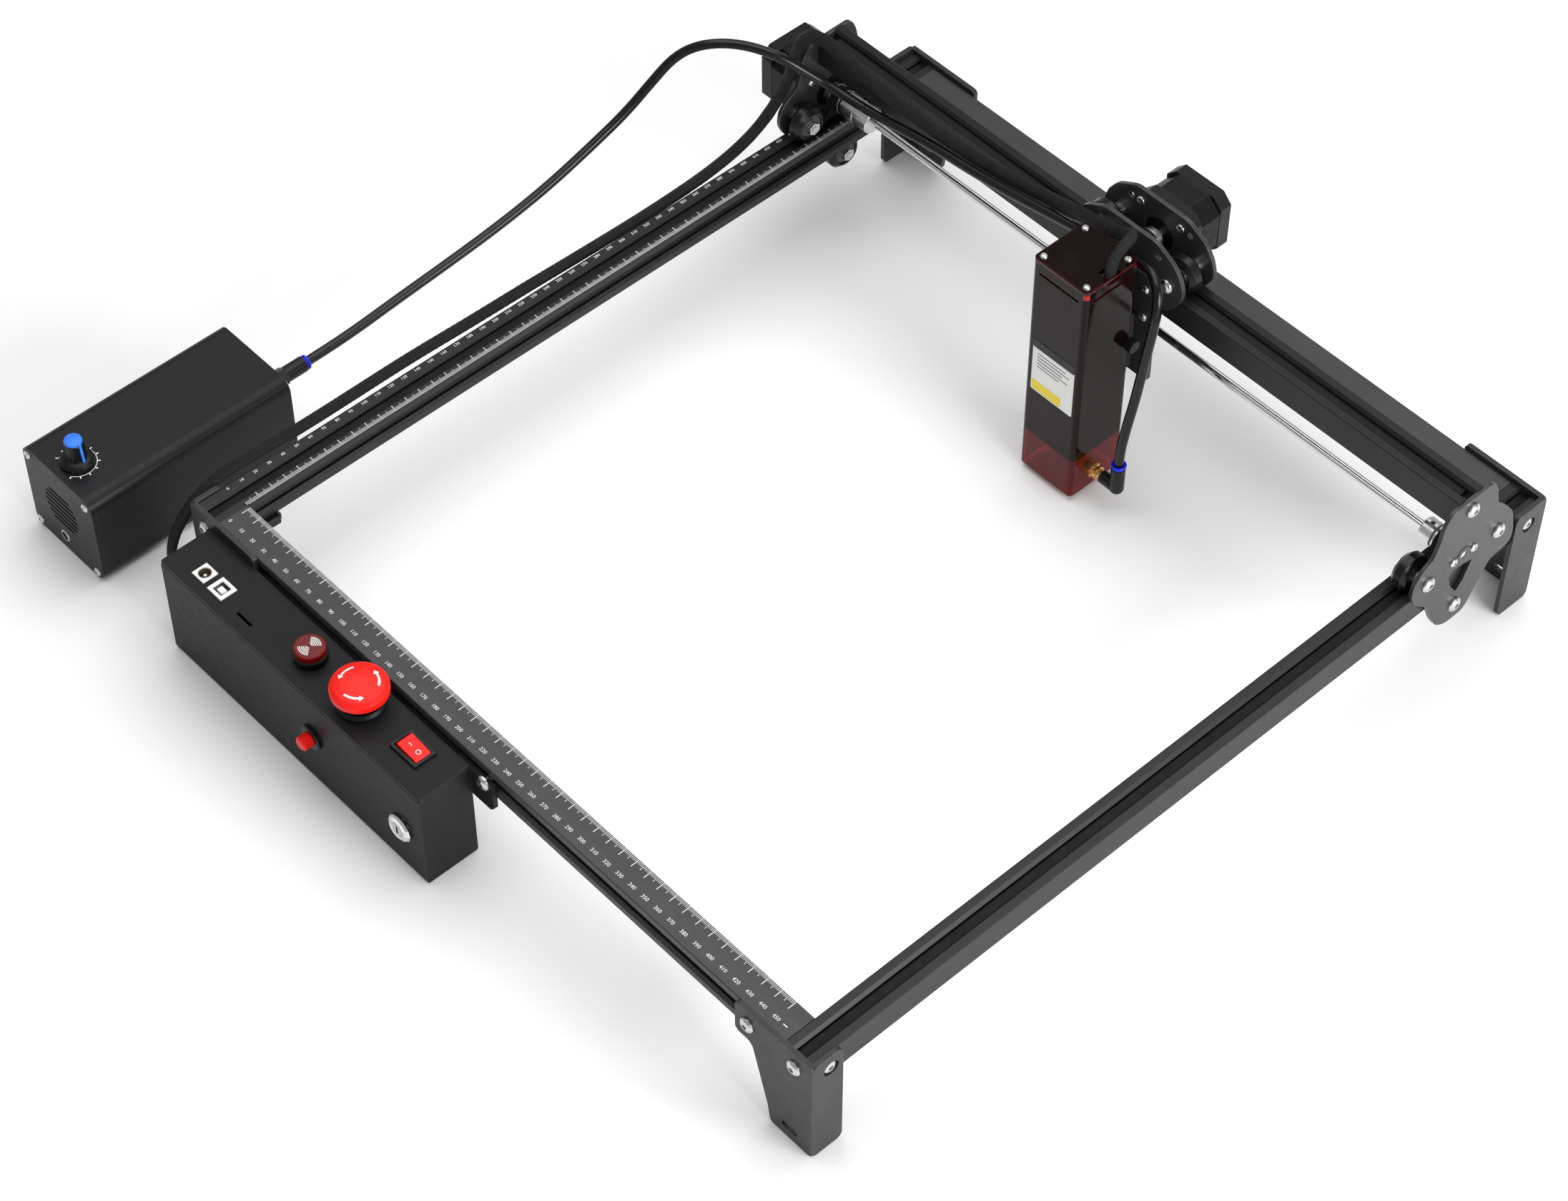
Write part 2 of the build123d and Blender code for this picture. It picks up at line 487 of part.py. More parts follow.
def build_carriage():
    nodes["carriage_front_plate"] = carriage_plate(front=True)
    nodes["carriage_rear_plate"] = carriage_plate(front=False)
    nodes["x_motor"] = motor("y", X_MOTOR_AXIS, CARRIAGE_REAR, -1, 33, 20)
    bolts = []
    for place in CARRIAGE_WHEELS.values():
        bolts += wheel_bolt("y", place, CARRIAGE_FRONT, CARRIAGE_FRONT + PLATE, 1, GANTRY_Y)
        rear = rod("y", place, GANTRY_Y + HUB_HALF + 4, CARRIAGE_REAR - PLATE, 4.6)
        bolts.append(rear - rod("y", place, GANTRY_Y, CARRIAGE_REAR, SHAFT_R))
    for dx, z in MOUNT_SCREWS:
        bolts.append(screw("y", (CARRIAGE_X + dx, z), MOUNT_FRONT, -1, MOUNT_T + PLATE, small=True))
    for place in motor_screws(*X_MOTOR_AXIS)[1::2]:
        bolts.append(screw("y", place, CARRIAGE_REAR - PLATE, -1, PLATE + 4, small=True))
    nodes["carriage_bolts"] = group(bolts)
    for name, place in CARRIAGE_WHEELS.items():
        nodes[name + "_carriage_wheel"] = v_wheel("y", place, GANTRY_Y)
    spindle = rod("y", X_MOTOR_AXIS, GANTRY_Y - 8, CARRIAGE_REAR + 18, SHAFT_R)
    nodes["x_pulley"] = pulley("y", X_MOTOR_AXIS, GANTRY_Y, 1, 3) + spindle
    mount = block(CARRIAGE_X - MOUNT_HALF, CARRIAGE_X + MOUNT_HALF, MOUNT_FRONT, CARRIAGE_FRONT,
                  MOUNT_BASE, MOUNT_TOP)
    mount += t_section(0, MOUNT_FRONT, MOUNT_BASE, MOUNT_TOP)
    for dx, z in MOUNT_SCREWS:
        mount -= rod("y", (CARRIAGE_X + dx, z), MOUNT_FRONT - 1, CARRIAGE_FRONT + 1, SMALL_R + 0.1)
    recess = CARRIAGE_FRONT - HEAD_H - 0.4      # for the head of the lower wheel's bolt
    mount -= rod("y", CARRIAGE_WHEELS["lower"], recess, CARRIAGE_FRONT + 1, HEAD_R + 0.4)
    nodes["head_mount"] = mount


def t_section(ease, back, base, top):
    """The T of the head's guide rail, or the slot for it when made wider by ease."""
    neck, wing = 5 + ease, 8 + ease
    body = block(CARRIAGE_X - neck, CARRIAGE_X + neck, back - 4 - ease, back, base, top)
    return body + block(CARRIAGE_X - wing, CARRIAGE_X + wing, back - 7 - ease, back - 4 + ease, base, top)


# ---- laser head ----
def hollow_box(limits, z0, z1, wall, corner):
    """A square tube, open at both ends, with rounded corners."""
    x0, x1, y0, y1 = limits
    outer = prism("z", rectangle(x0, x1, y0, y1), z0, z1, corner)
    inner = rectangle(x0 + wall, x1 - wall, y0 + wall, y1 - wall)
    return outer - prism("z", inner, z0, z1, corner - wall / 2)


def inset(limits, step):
    x0, x1, y0, y1 = limits
    return (x0 + step, x1 - step, y0 + step, y1 - step)


def build_head():
    x0, x1, y0, y1 = HEAD
    shield = hollow_box(HEAD, HEAD_BASE, SHIELD_TOP, WALL, 3)
    shield -= rod("x", (AIR_Y, AIR_Z), x1 - 4, x1 + 1, 3.1)
    nodes["head_shield"] = shield
    cover = hollow_box(HEAD, SHIELD_TOP, HEAD_TOP, WALL, 3)
    cover += prism("z", rectangle(*HEAD), HEAD_TOP - 2, HEAD_TOP, 3)
    middle_x, middle_y = (x0 + x1) / 2, (y0 + y1) / 2
    for start, end in ((x0 - 1, x0 + 4), (x1 - 4, x1 + 1)):
        cover -= block(start, end, middle_y - VENT_HALF, middle_y + VENT_HALF, *VENT_Z)
    for start, end in ((y0 - 1, y0 + 4), (y1 - 4, y1 + 1)):
        cover -= block(middle_x - VENT_HALF, middle_x + VENT_HALF, start, end, *VENT_Z)
    cover -= block(253.5, x1 + 1, 410.5, 420.5, HEAD_TOP - 5, HEAD_TOP + 1)
    cover -= rod("x", CLAMP_AT, x1 - 10, x1 + 1, SHAFT_R + RUNNING)
    nodes["head_cover"] = cover
    limits = inset(HEAD, WALL + 0.2)
    module = prism("z", rectangle(*limits), SHIELD_TOP + 2, 76, 2)
    for i in range(8):
        fin_x = limits[0] + 3.4 + i * 4.4
        module -= block(fin_x, fin_x + 2, limits[2] - 1, limits[2] + 3, -38, 72)
    module -= rod("x", CLAMP_AT, x1 - 10, x1 + 1, SHAFT_R + RUNNING)
    module += block(254.5, 260, 412, 419, 75, 90)
    module += turned("z", (middle_x, middle_y), [(-50.5, 0), (-50.5, 7), (-49, 8), (-44, 8), (-44, 0)])
    nodes["laser_module"] = module
    slider = block(CARRIAGE_X - 13, CARRIAGE_X + 13, y1, MOUNT_FRONT - GAP, *SLIDER)
    slider -= t_section(GAP, MOUNT_FRONT, *SLIDER)
    nodes["head_slider"] = slider
    nodes["clamp_knob"] = clamp_knob(x1)
    nodes["air_fitting"] = air_fitting(x1)
    nodes["air_elbow"] = air_elbow()


def clamp_knob(face):
    """A fluted thumb screw whose point reaches into the head."""
    knob = rod("x", CLAMP_AT, face + 1.2, face + 6.5, 4.2)
    for i in range(12):
        angle = 2 * pi * i / 12
        knob -= rod("x", (CLAMP_AT[0] + 4.6 * cos(angle), CLAMP_AT[1] + 4.6 * sin(angle)),
                    face, face + 7, 0.8)
    return knob + rod("x", CLAMP_AT, face - 8, face + 1.2, SHAFT_R)


def air_fitting(face):
    """The brass hex nipple screwed through the shield."""
    plane = Plane(origin=(face, AIR_Y, AIR_Z), z_dir=(1, 0, 0))
    hexagon = plane * extrude(RegularPolygon(5.2, 6), 4.5)
    neck = rod("x", (AIR_Y, AIR_Z), face - WALL - 1, face + 11, 3)
    ring = rod("x", (AIR_Y, AIR_Z), face + 6.5, face + 8, 4.4)
    return hexagon + neck + ring - rod("x", (AIR_Y, AIR_Z), face - 8, face + 12, AIR_BORE)


def air_elbow():
    """The push-in elbow that turns the air from the hose into the nipple."""
    start = HEAD[1] + 11
    level = rod("x", (AIR_Y, AIR_Z), start, ELBOW_X, 4.1)
    upright = rod("z", (ELBOW_X, AIR_Y), AIR_Z, -42, 4.4)
    ball = Pos(ELBOW_X, AIR_Y, AIR_Z) * Sphere(4.4)
    return level + upright + ball


# ---- control box ----
def build_control_box():
    x0, x1, y0, y1 = BOX
    profile = [(y0, FLOOR), (y1, FLOOR), (y1, SHELF), (y0, SHELF)]
    tray = prism("x", profile, x0, x1, 1.5)
    tray -= block(x0 + BOX_WALL, x1 - BOX_WALL, y0 + BOX_WALL, y1 - BOX_WALL, FLOOR + BOX_WALL, SHELF + 1)
    tab = [(x1 - 12, -30), (x1 - 12, SHELF), (x1 + 18, SHELF), (x1 + 18, -27), (x1 + 15, -30)]
    tray += prism("y", tab, y1, -RAIL, 0.8)
    tray -= rod("y", TAB_SCREW, y1 - 1, -RAIL + 1, SCREW_R + 0.2)
    tray -= rod("y", BOX_SCREW, y1 - 3, y1 + 1, SCREW_R + 0.2)
    tray -= rod("y", RESET_AT, y0 - 1, y0 + 3, 6.1)
    tray -= rod("y", KEY_AT, y0 - 1, y0 + 3, 6.1)
    nodes["control_box"] = tray
    lid = prism("z", rectangle(*BOX), SHELF, BOX_TOP, 1.5)
    openings = [rod("z", STOP_AT, SHELF - 1, BOX_TOP + 1, 8.1),
                rod("z", LAMP_AT, SHELF - 1, BOX_TOP + 1, 6.1)]
    for (x, y), width, depth in ((ROCKER_AT, 19.6, 12.8), (DC_AT, 9.2, 9.2), (USB_AT, 11.6, 10.2)):
        openings.append(block(x - width / 2, x + width / 2, y - depth / 2, y + depth / 2, SHELF - 1, 0))
    openings.append(block(53.7, 67, -50.4, -48.6, SHELF - 1, BOX_TOP + 1))
    nodes["control_box_lid"] = lid - openings
    nodes["control_board"] = control_board()
    nodes["box_sockets"] = group([dc_socket(), usb_socket()])
    nodes["panel_bezels"] = group([lamp_base(), stop_collar(), rocker_bezel(), reset_bezel()])
    nodes["lamp_cap"] = turned("z", LAMP_AT, [(LAMP_SEAT, 0), (LAMP_SEAT, 9), (LAMP_TOP - 0.6, 9),
                                              (LAMP_TOP, 8.4), (LAMP_TOP, 0)])
    build_buttons()
    nodes["key_lock"] = key_barrel() - rod("y", KEY_AT, BOX[2] - 5, BOX[2] + 14, 4.2)
    nodes["key_plug"] = key_plug()


def control_board():
    """The board on its four posts, with its driver chips and connectors."""
    x0, x1 = 8.0, 118.0
    board = block(x0, x1, -54, -27, FLOOR + 8, FLOOR + 9.6)
    for x in (x0 + 5, x1 - 5):
        for y in (-50, -31):
            board += rod("z", (x, y), FLOOR + BOX_WALL, FLOOR + 8, 2.5)
    for i in range(3):
        board += block(20 + i * 26, 32 + i * 26, -48, -34, FLOOR + 9.6, FLOOR + 18)
    return board + block(96, 110, -50, -32, FLOOR + 9.6, FLOOR + 15)


def dc_socket():
    x, y = DC_AT
    body = block(x - 4.5, x + 4.5, y - 4.5, y + 4.5, -20, BOX_TOP)
    body += block(x - 5.2, x + 5.2, y - 5.2, y + 5.2, BOX_TOP, BOX_TOP + 1)
    body -= rod("z", DC_AT, -17, BOX_TOP + 2, 4)
    return body + rod("z", DC_AT, -17, BOX_TOP - 1, 0.9)


def usb_socket():
    x, y = USB_AT
    body = block(x - 5.7, x + 5.7, y - 5, y + 5, -20, BOX_TOP)
    body += block(x - 6.2, x + 6.2, y - 5.7, y + 5.7, BOX_TOP, BOX_TOP + 1)
    return body - block(x - 4.2, x + 4.2, y - 3.9, y + 3.9, -17, BOX_TOP + 2)


def lamp_base():
    return turned("z", LAMP_AT, [(-26, 0), (-26, 6), (BOX_TOP, 6), (BOX_TOP, 9.7), (LAMP_SEAT - 0.5, 9.7),
                                 (LAMP_SEAT, 9.2), (LAMP_SEAT, 0)])


def stop_collar():
    body = turned("z", STOP_AT, [(-34, 0), (-34, 8), (BOX_TOP, 8), (BOX_TOP, 14), (BOX_TOP + 3, 14),
                                 (BOX_TOP + 4.5, 12.5), (BOX_TOP + 4.5, 0)])
    return body - rod("z", STOP_AT, -32, 0, 6 + RUNNING)


def rocker_bezel():
    x, y = ROCKER_AT
    body = block(x - 10.75, x + 10.75, y - 7.5, y + 7.5, BOX_TOP, BOX_TOP + 1.8)
    body += block(x - 9.7, x + 9.7, y - 6.3, y + 6.3, -26, BOX_TOP)
    return body - block(x - 9.2, x + 9.2, y - 5.6, y + 5.6, -18, 0)


def reset_bezel():
    face = BOX[2]
    body = turned("y", RESET_AT, [(face - 2.5, 0), (face - 2.5, 7.2), (face - 1.8, 8), (face, 8),
                                  (face, 6), (face + 22, 6), (face + 22, 0)])
    return body - rod("y", RESET_AT, face - 4, face + 16, 4.7)


def build_buttons():
    """The emergency stop's stem and mushroom, the rocker and the reset button."""
    nodes["stop_stem"] = turned("z", STOP_AT, [(-26, 0), (-26, 6), (4, 6), (4, 4), (10, 4), (10, 0)])
    nodes["stop_button"] = turned("z", STOP_AT, [(5.4, 4 + RUNNING), (5.4, 15.9), (6.1, 16.6), (9.4, 16.6),
                                                 (10.6, 16), (11.8, 14), (12.7, 10), (13.1, 5), (13.2, 0),
                                                 (10.3, 0), (10.3, 4 + RUNNING)])
    x, y = ROCKER_AT
    pivot = -9.0
    profile = [(-8.4, 5.2), (-7.6, 6.2), (7.6, 6.2), (8.4, 5.2), (7.2, -2.5), (0, -5.5), (-7.2, -2.5)]
    rocker = prism("y", profile, -5.1, 5.1, 0.5)
    nodes["rocker"] = Pos(x, y, pivot) * Rot(0, ROCKER_TILT, 0) * rocker
    face = BOX[2]
    nodes["reset_button"] = turned("y", RESET_AT, [(face + 10, 0), (face + 10, 4.4), (face - 8, 4.4),
                                                   (face - 9, 3.4), (face - 9, 0)])


def key_barrel():
    face = BOX[2]
    return turned("y", KEY_AT, [(face - 3, 0), (face - 3, 7), (face - 2, 8.2), (face, 8.2), (face, 6),
                                (face + 20, 6), (face + 20, 0)])


def key_plug():
    face = BOX[2]
    plug = rod("y", KEY_AT, face - 3.4, face + 13.5, 4.2 - RUNNING)
    x, z = KEY_AT
    return plug - block(x - 0.8, x + 0.8, face - 4, face + 2, z - 3, z + 3)


# ---- air pump ----
def build_pump():
    x0, x1, y0, y1 = PUMP
    section = rectangle(x0, x1, FLOOR, PUMP_TOP)
    wall = 2.5
    inner = rectangle(x0 + wall, x1 - wall, FLOOR + wall, PUMP_TOP - wall)
    case = prism("y", section, y0 + PUMP_SHEET, y1 - PUMP_SHEET, PUMP_CORNER)
    case -= prism("y", inner, y0 + PUMP_SHEET, y1 - PUMP_SHEET, PUMP_CORNER - wall)
    case += screw_bosses(y0 + PUMP_SHEET, y1 - PUMP_SHEET)
    case -= rod("z", KNOB_AT, PUMP_TOP - 4, PUMP_TOP + 1, 3.1)
    nodes["pump_case"] = case
    front = prism("y", section, y0, y0 + PUMP_SHEET, PUMP_CORNER)
    rear = prism("y", section, y1 - PUMP_SHEET, y1, PUMP_CORNER)
    for pump_screw in PUMP_SCREWS:
        hole = rod("y", pump_screw, y0 - 1, y1 + 1, SMALL_R + 0.1)
        front, rear = front - hole, rear - hole
    grille_r, pitch, slot_width = 15.5, 4.0, 1.9
    for i in range(-3, 4):
        half = (grille_r ** 2 - (pitch * i) ** 2) ** 0.5
        front -= slot("y", y0 - 1, y0 + PUMP_SHEET + 1, GRILLE[0] - half, GRILLE[0] + half,
                      GRILLE[1] + pitch * i, slot_width)
    front -= rod("y", PUMP_JACK, y0 - 1, y0 + PUMP_SHEET + 1, 4)
    rear -= rod("y", OUTLET, y1 - PUMP_SHEET - 1, y1 + 1, 4.1)
    nodes["pump_end_plates"] = group([front, rear])
    plane = Plane(origin=(OUTLET[0], y1, OUTLET[1]), z_dir=(0, 1, 0))
    fitting = plane * extrude(RegularPolygon(5.8, 6), 6) + rod("y", OUTLET, y1 - 8, y1, 4)
    nodes["pump_fitting"] = fitting + rod("y", OUTLET, y1 + 6, HOSE_ROUTE[0][1], 5)
    engine = rod("y", (-103.25, -50), -30, 40, 21) + block(-120, -86.5, -24, 34, FLOOR + wall, -50)
    nodes["air_pump"] = engine + block(-116, -90, 40, 68, -66, -34)
    top = PUMP_TOP + 0.4
    knob = turned("z", KNOB_AT, [(top, 0), (top, 10), (top + 2.6, 10), (top + 4, 8.6), (top + 5, 6.6),
                                 (top + 16.4, 5.6), (top + 18, 4.6), (top + 18.1, 0)])
    for i in range(18):
        angle = 2 * pi * i / 18
        knob -= rod("z", (KNOB_AT[0] + 6.6 * cos(angle), KNOB_AT[1] + 6.6 * sin(angle)),
                    top + 5.5, top + 19, 0.7)
    nodes["pump_knob"] = knob + rod("z", KNOB_AT, PUMP_TOP - 7, top, 3)


def screw_bosses(start, end):
    """The four tapped posts in the corners of the pump's case."""
    return [rod("y", pump_screw, start, end, 3.6) - rod("y", pump_screw, start, end, SMALL_R + 0.1)
            for pump_screw in PUMP_SCREWS]


# ---- hose and sleeve ----
def cut_route(points, runs):
    """A route cut in the middle of some of its runs."""
    pieces, start = [], [points[0]]
    first = 1
    for run in runs:
        middle = tuple((a + b) / 2 for a, b in zip(points[run - 1], points[run]))
        pieces.append(start + list(points[first:run]) + [middle])
        start, first = [middle], run
    pieces.append(start + list(points[first:]))
    return pieces


def tube(points, radius):
    """A round tube along straight runs joined by tangent arcs."""
    path = FilletPolyline(*points, radius=corner_radii(points))
    across = Plane(origin=points[0], z_dir=Vector(*points[1]) - Vector(*points[0]))
    return sweep(across * Circle(radius), path=path), path.length


def build_cords():
    for name, route, cuts, radius in (("hose", HOSE_ROUTE, HOSE_CUTS, HOSE_R),
                                      ("sleeve", SLEEVE_ROUTE, SLEEVE_CUTS, SLEEVE_R)):
        for part, points in zip(("frame", "gantry", "head"), cut_route(route, cuts)):
            solid, length = tube(points, radius)
            nodes[f"{name}_{part}"] = solid
            radii = [round(r, 1) for r in corner_radii(points)]
            runs = [round((Vector(*b) - Vector(*a)).length) for a, b in zip(points, points[1:])]
            turns = [round(turn_at(*points[i - 1:i + 2])) for i in range(1, len(points) - 1)]
            ratio = solid.volume / (pi * radius ** 2 * length)
            print(f"{name}_{part}: length {length:.1f}, volume ratio {ratio:.4f}, least radius {min(radii)}")
            print("  runs", runs, "turns", turns, "radii", radii)


def place_on_floor():
    """Shift every node so that the origin is the bottom centre of the whole."""
    cords = ("hose_", "sleeve_")
    solids = [shape for name, shape in nodes.items() if not name.startswith(cords)]
    box = Compound(children=[solid for shape in solids for solid in shape.solids()]).bounding_box()
    shift = Pos(-(box.min.X + box.max.X) / 2, -(box.min.Y + box.max.Y) / 2, -box.min.Z)
    print("shift", shift.position, "size", box.size)
    os.makedirs("parts", exist_ok=True)
    for name, shape in nodes.items():
        export_step(shift * shape, f"parts/{name}.step")


build_frame()
build_gantry()
build_drive_shaft()
build_carriage()
build_head()
build_control_box()
build_pump()
build_cords()
place_on_floor()
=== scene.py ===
"""Looks of the desktop laser cutter: its materials, printed marks, belt loops, small trim,
and the hose and the sleeve that cross its joints.

New pieces are drawn in millimetres in the machine's own frame: x = 0 and y = 0 at the inner
front left corner of the frame opening, z = 0 at the top of the rails, +Y away from the user.
"""
import math

import bmesh
import bpy
from mathutils import Matrix, Vector


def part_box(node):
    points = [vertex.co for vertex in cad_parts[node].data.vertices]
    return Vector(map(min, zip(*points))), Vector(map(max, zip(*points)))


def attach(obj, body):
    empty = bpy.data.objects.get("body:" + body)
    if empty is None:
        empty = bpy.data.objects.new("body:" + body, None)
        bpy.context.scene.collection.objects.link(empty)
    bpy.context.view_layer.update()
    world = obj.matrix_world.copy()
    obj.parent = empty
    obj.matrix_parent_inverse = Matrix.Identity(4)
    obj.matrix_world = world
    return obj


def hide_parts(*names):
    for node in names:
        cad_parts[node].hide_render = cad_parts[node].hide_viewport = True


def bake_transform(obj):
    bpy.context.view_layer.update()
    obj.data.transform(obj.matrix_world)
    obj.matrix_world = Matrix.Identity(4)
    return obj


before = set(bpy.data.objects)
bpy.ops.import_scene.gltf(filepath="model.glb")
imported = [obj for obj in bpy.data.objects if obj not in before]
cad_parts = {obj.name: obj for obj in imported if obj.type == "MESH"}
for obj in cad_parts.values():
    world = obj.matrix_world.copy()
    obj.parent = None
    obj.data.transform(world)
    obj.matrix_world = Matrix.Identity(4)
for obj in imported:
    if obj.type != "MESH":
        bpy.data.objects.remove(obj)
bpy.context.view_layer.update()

MM = 0.001
RAIL = 20.0                     # side of the square rails
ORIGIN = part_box("left_rail")[0] + Vector((RAIL, RAIL, RAIL)) * MM
TO_ROW = Matrix.Translation(ORIGIN) @ Matrix.Scale(MM, 4)


def place(x, y, z):
    """A point of the machine's frame in the row frame, in metres."""
    return TO_ROW @ Vector((x, y, z))


def local_box(node):
    """Lowest and highest corner of a CAD node, in millimetres in the machine's frame."""
    return [(corner - ORIGIN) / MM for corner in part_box(node)]


def centre_of(node, axis):
    """The middle of a CAD node: its two coordinates across an axis."""
    low, high = local_box(node)
    across = {"x": (1, 2), "y": (0, 2), "z": (0, 1)}[axis]
    return tuple((low[i] + high[i]) / 2 for i in across)


# ---- camera ----
CAMERA_AT = (1254.2, -744.6, 1610.6)
AZIMUTH, PITCH = math.radians(47.45), math.radians(49.87)
LENS, SENSOR = 88.42, 36.0


def make_camera():
    data = bpy.data.cameras.new("camera")
    data.lens, data.sensor_width, data.clip_end = LENS, SENSOR, 50.0
    camera = bpy.data.objects.new("camera", data)
    back = Vector((math.sin(AZIMUTH) * math.cos(PITCH), -math.cos(AZIMUTH) * math.cos(PITCH),
                   math.sin(PITCH)))
    camera.rotation_mode = "QUATERNION"
    camera.location = place(*CAMERA_AT)
    camera.rotation_quaternion = (-back).to_track_quat("-Z", "Y")
    bpy.context.scene.collection.objects.link(camera)
    bpy.context.scene.camera = camera


make_camera()


# ---- materials ----
LOOKS = {}                      # every material made here, under its own name


class Nodes:
    """Short calls for building a material's node tree."""

    def __init__(self, name):
        self.material = LOOKS[name] = bpy.data.materials.new(name)
        self.material.use_nodes = True
        self.tree = self.material.node_tree
        self.tree.nodes.clear()
        self.shader = self.add("ShaderNodeBsdfPrincipled")
        output = self.add("ShaderNodeOutputMaterial")
        self.link(self.shader.outputs["BSDF"], output.inputs["Surface"])
        self.object = self.add("ShaderNodeTexCoord").outputs["Object"]

    def add(self, kind, **settings):
        node = self.tree.nodes.new(kind)
        for key, value in settings.items():
            setattr(node, key, value)
        return node

    def link(self, source, target):
        self.tree.links.new(source, target)

    def stretched(self, vector, scale):
        node = self.add("ShaderNodeMapping")
        node.inputs["Scale"].default_value = scale
        self.link(vector, node.inputs["Vector"])
        return node.outputs["Vector"]

    def noise(self, size_mm, detail=3.0, vector=None, roughness=0.55):
        node = self.add("ShaderNodeTexNoise")
        node.inputs["Scale"].default_value = 1 / (size_mm * MM)
        node.inputs["Detail"].default_value = detail
        node.inputs["Roughness"].default_value = roughness
        self.link(vector or self.object, node.inputs["Vector"])
        return node.outputs["Fac"]

    def ramp(self, source, low, high, to_low=0.0, to_high=1.0):
        node = self.add("ShaderNodeMapRange")
        limits = {"From Min": low, "From Max": high, "To Min": to_low, "To Max": to_high}
        for key, value in limits.items():
            node.inputs[key].default_value = value
        self.link(source, node.inputs["Value"])
        return node.outputs["Result"]

    def math(self, operation, a, b=None):
        node = self.add("ShaderNodeMath", operation=operation)
        for i, value in enumerate((a, b)):
            if value is None:
                continue
            if isinstance(value, (int, float)):
                node.inputs[i].default_value = value
            else:
                self.link(value, node.inputs[i])
        return node.outputs[0]

    def mix(self, factor, a, b):
        node = self.add("ShaderNodeMix", data_type="RGBA")
        colours = [s for s in node.inputs if s.type == "RGBA"]
        self.link(factor, node.inputs["Factor"])
        for socket, value in zip(colours, (a, b)):
            if isinstance(value, tuple):
                socket.default_value = (*value, 1.0)
            else:
                self.link(value, socket)
        return next(s for s in node.outputs if s.type == "RGBA")

    def bump(self, height, depth_mm, normal=None):
        node = self.add("ShaderNodeBump")
        node.inputs["Strength"].default_value = 1.0
        node.inputs["Distance"].default_value = depth_mm * MM
        self.link(height, node.inputs["Height"])
        if normal is not None:
            self.link(normal, node.inputs["Normal"])
        return node.outputs["Normal"]

    def edges(self, radius_mm):
        """(normal with rounded edges, mask that is 1 on sharp edges)."""
        bevel = self.add("ShaderNodeBevel", samples=4)
        bevel.inputs["Radius"].default_value = radius_mm * MM
        dot = self.add("ShaderNodeVectorMath", operation="DOT_PRODUCT")
        self.link(bevel.outputs["Normal"], dot.inputs[0])
        self.link(self.add("ShaderNodeNewGeometry").outputs["Normal"], dot.inputs[1])
        return bevel.outputs["Normal"], self.ramp(dot.outputs["Value"], 0.985, 0.86)


def shade(colour, factor):
    return tuple(min(1.0, channel * factor) for channel in colour)


def finish(name, colour, roughness, metallic=0.0, vary=0.12, vary_mm=22.0, grain_mm=0.5,
           grain_depth=0.012, edge_wear_and_highlight=None, edge_width_mm=0.5, streak=None, rough_spread=0.07, coat=0.0,
           scratches=0.0, gloss=0.5):
    """A worn, slightly uneven finish: broad and fine colour change, grain in the relief, bright
    edges in a given colour that is partly edge wear and partly a painted highlight, and streaks
    where streak stretches the noise."""
    n = Nodes(name)
    vector = n.stretched(n.object, streak) if streak else n.object
    broad = n.noise(vary_mm, 4.0)
    fine = n.noise(grain_mm * 3, 3.0, vector)
    tone = n.math("ADD", n.math("MULTIPLY", broad, 0.6), n.math("MULTIPLY", fine, 0.4))
    base = n.mix(n.ramp(tone, 0.3, 0.7), shade(colour, 1 - vary), shade(colour, 1 + vary))
    rough = n.ramp(n.noise(vary_mm / 3, 3.0, vector), 0.3, 0.7, roughness - rough_spread,
                   roughness + rough_spread)
    height = n.noise(grain_mm, 2.0, vector)
    rounded, mask = n.edges(edge_width_mm)
    # bright edges in the given colour: partly edge wear, partly a painted highlight along the edges
    if edge_wear_and_highlight:
        bright_edges = n.math("MULTIPLY", mask, n.ramp(n.noise(3.0, 4.0), 0.34, 0.6, 0.25, 1.0))
        base = n.mix(bright_edges, base, edge_wear_and_highlight)
    if scratches:
        lines = n.noise(5.0, 5.0, n.stretched(n.object, (9.0, 0.7, 3.0)), 0.7)
        thin = n.ramp(n.math("ABSOLUTE", n.math("SUBTRACT", lines, 0.5)), 0.012, 0.0)
        rough = n.math("ADD", rough, n.math("MULTIPLY", thin, scratches))
    n.link(base, n.shader.inputs["Base Color"])
    n.link(rough, n.shader.inputs["Roughness"])
    n.link(n.bump(height, grain_depth, rounded), n.shader.inputs["Normal"])
    n.shader.inputs["Metallic"].default_value = metallic
    n.shader.inputs["Coat Weight"].default_value = coat
    n.shader.inputs["Coat Roughness"].default_value = 0.12
    n.shader.inputs["Specular IOR Level"].default_value = gloss


def acrylic(name, colour, edge, roughness, transmission, ior):
    """Tinted clear sheet, with a painted glow in a brighter edge colour at its cut edges, and with
    faint moulding waves.
    """
    n = Nodes(name)
    rounded, mask = n.edges(1.1)
    tone = n.mix(n.ramp(n.noise(30.0, 3.0), 0.3, 0.7), shade(colour, 0.85), shade(colour, 1.15))
    # the edge colour on the cut edges is a painted glow
    n.link(n.mix(mask, tone, edge), n.shader.inputs["Base Color"])
    smears = n.ramp(n.noise(16.0, 5.0, n.stretched(n.object, (1.0, 1.0, 0.4))), 0.35, 0.75,
                    roughness, roughness + 0.09)
    n.link(smears, n.shader.inputs["Roughness"])
    n.link(n.bump(n.noise(9.0, 1.0), 0.02, rounded), n.shader.inputs["Normal"])
    n.shader.inputs["Transmission Weight"].default_value = transmission
    n.shader.inputs["IOR"].default_value = ior


BRAID_RATE, THREAD_RATE = 2400.0, 9000.0    # strands and threads: radians per metre of sleeve
BRAID_TURN = 75.4                           # strands: radians round the sleeve


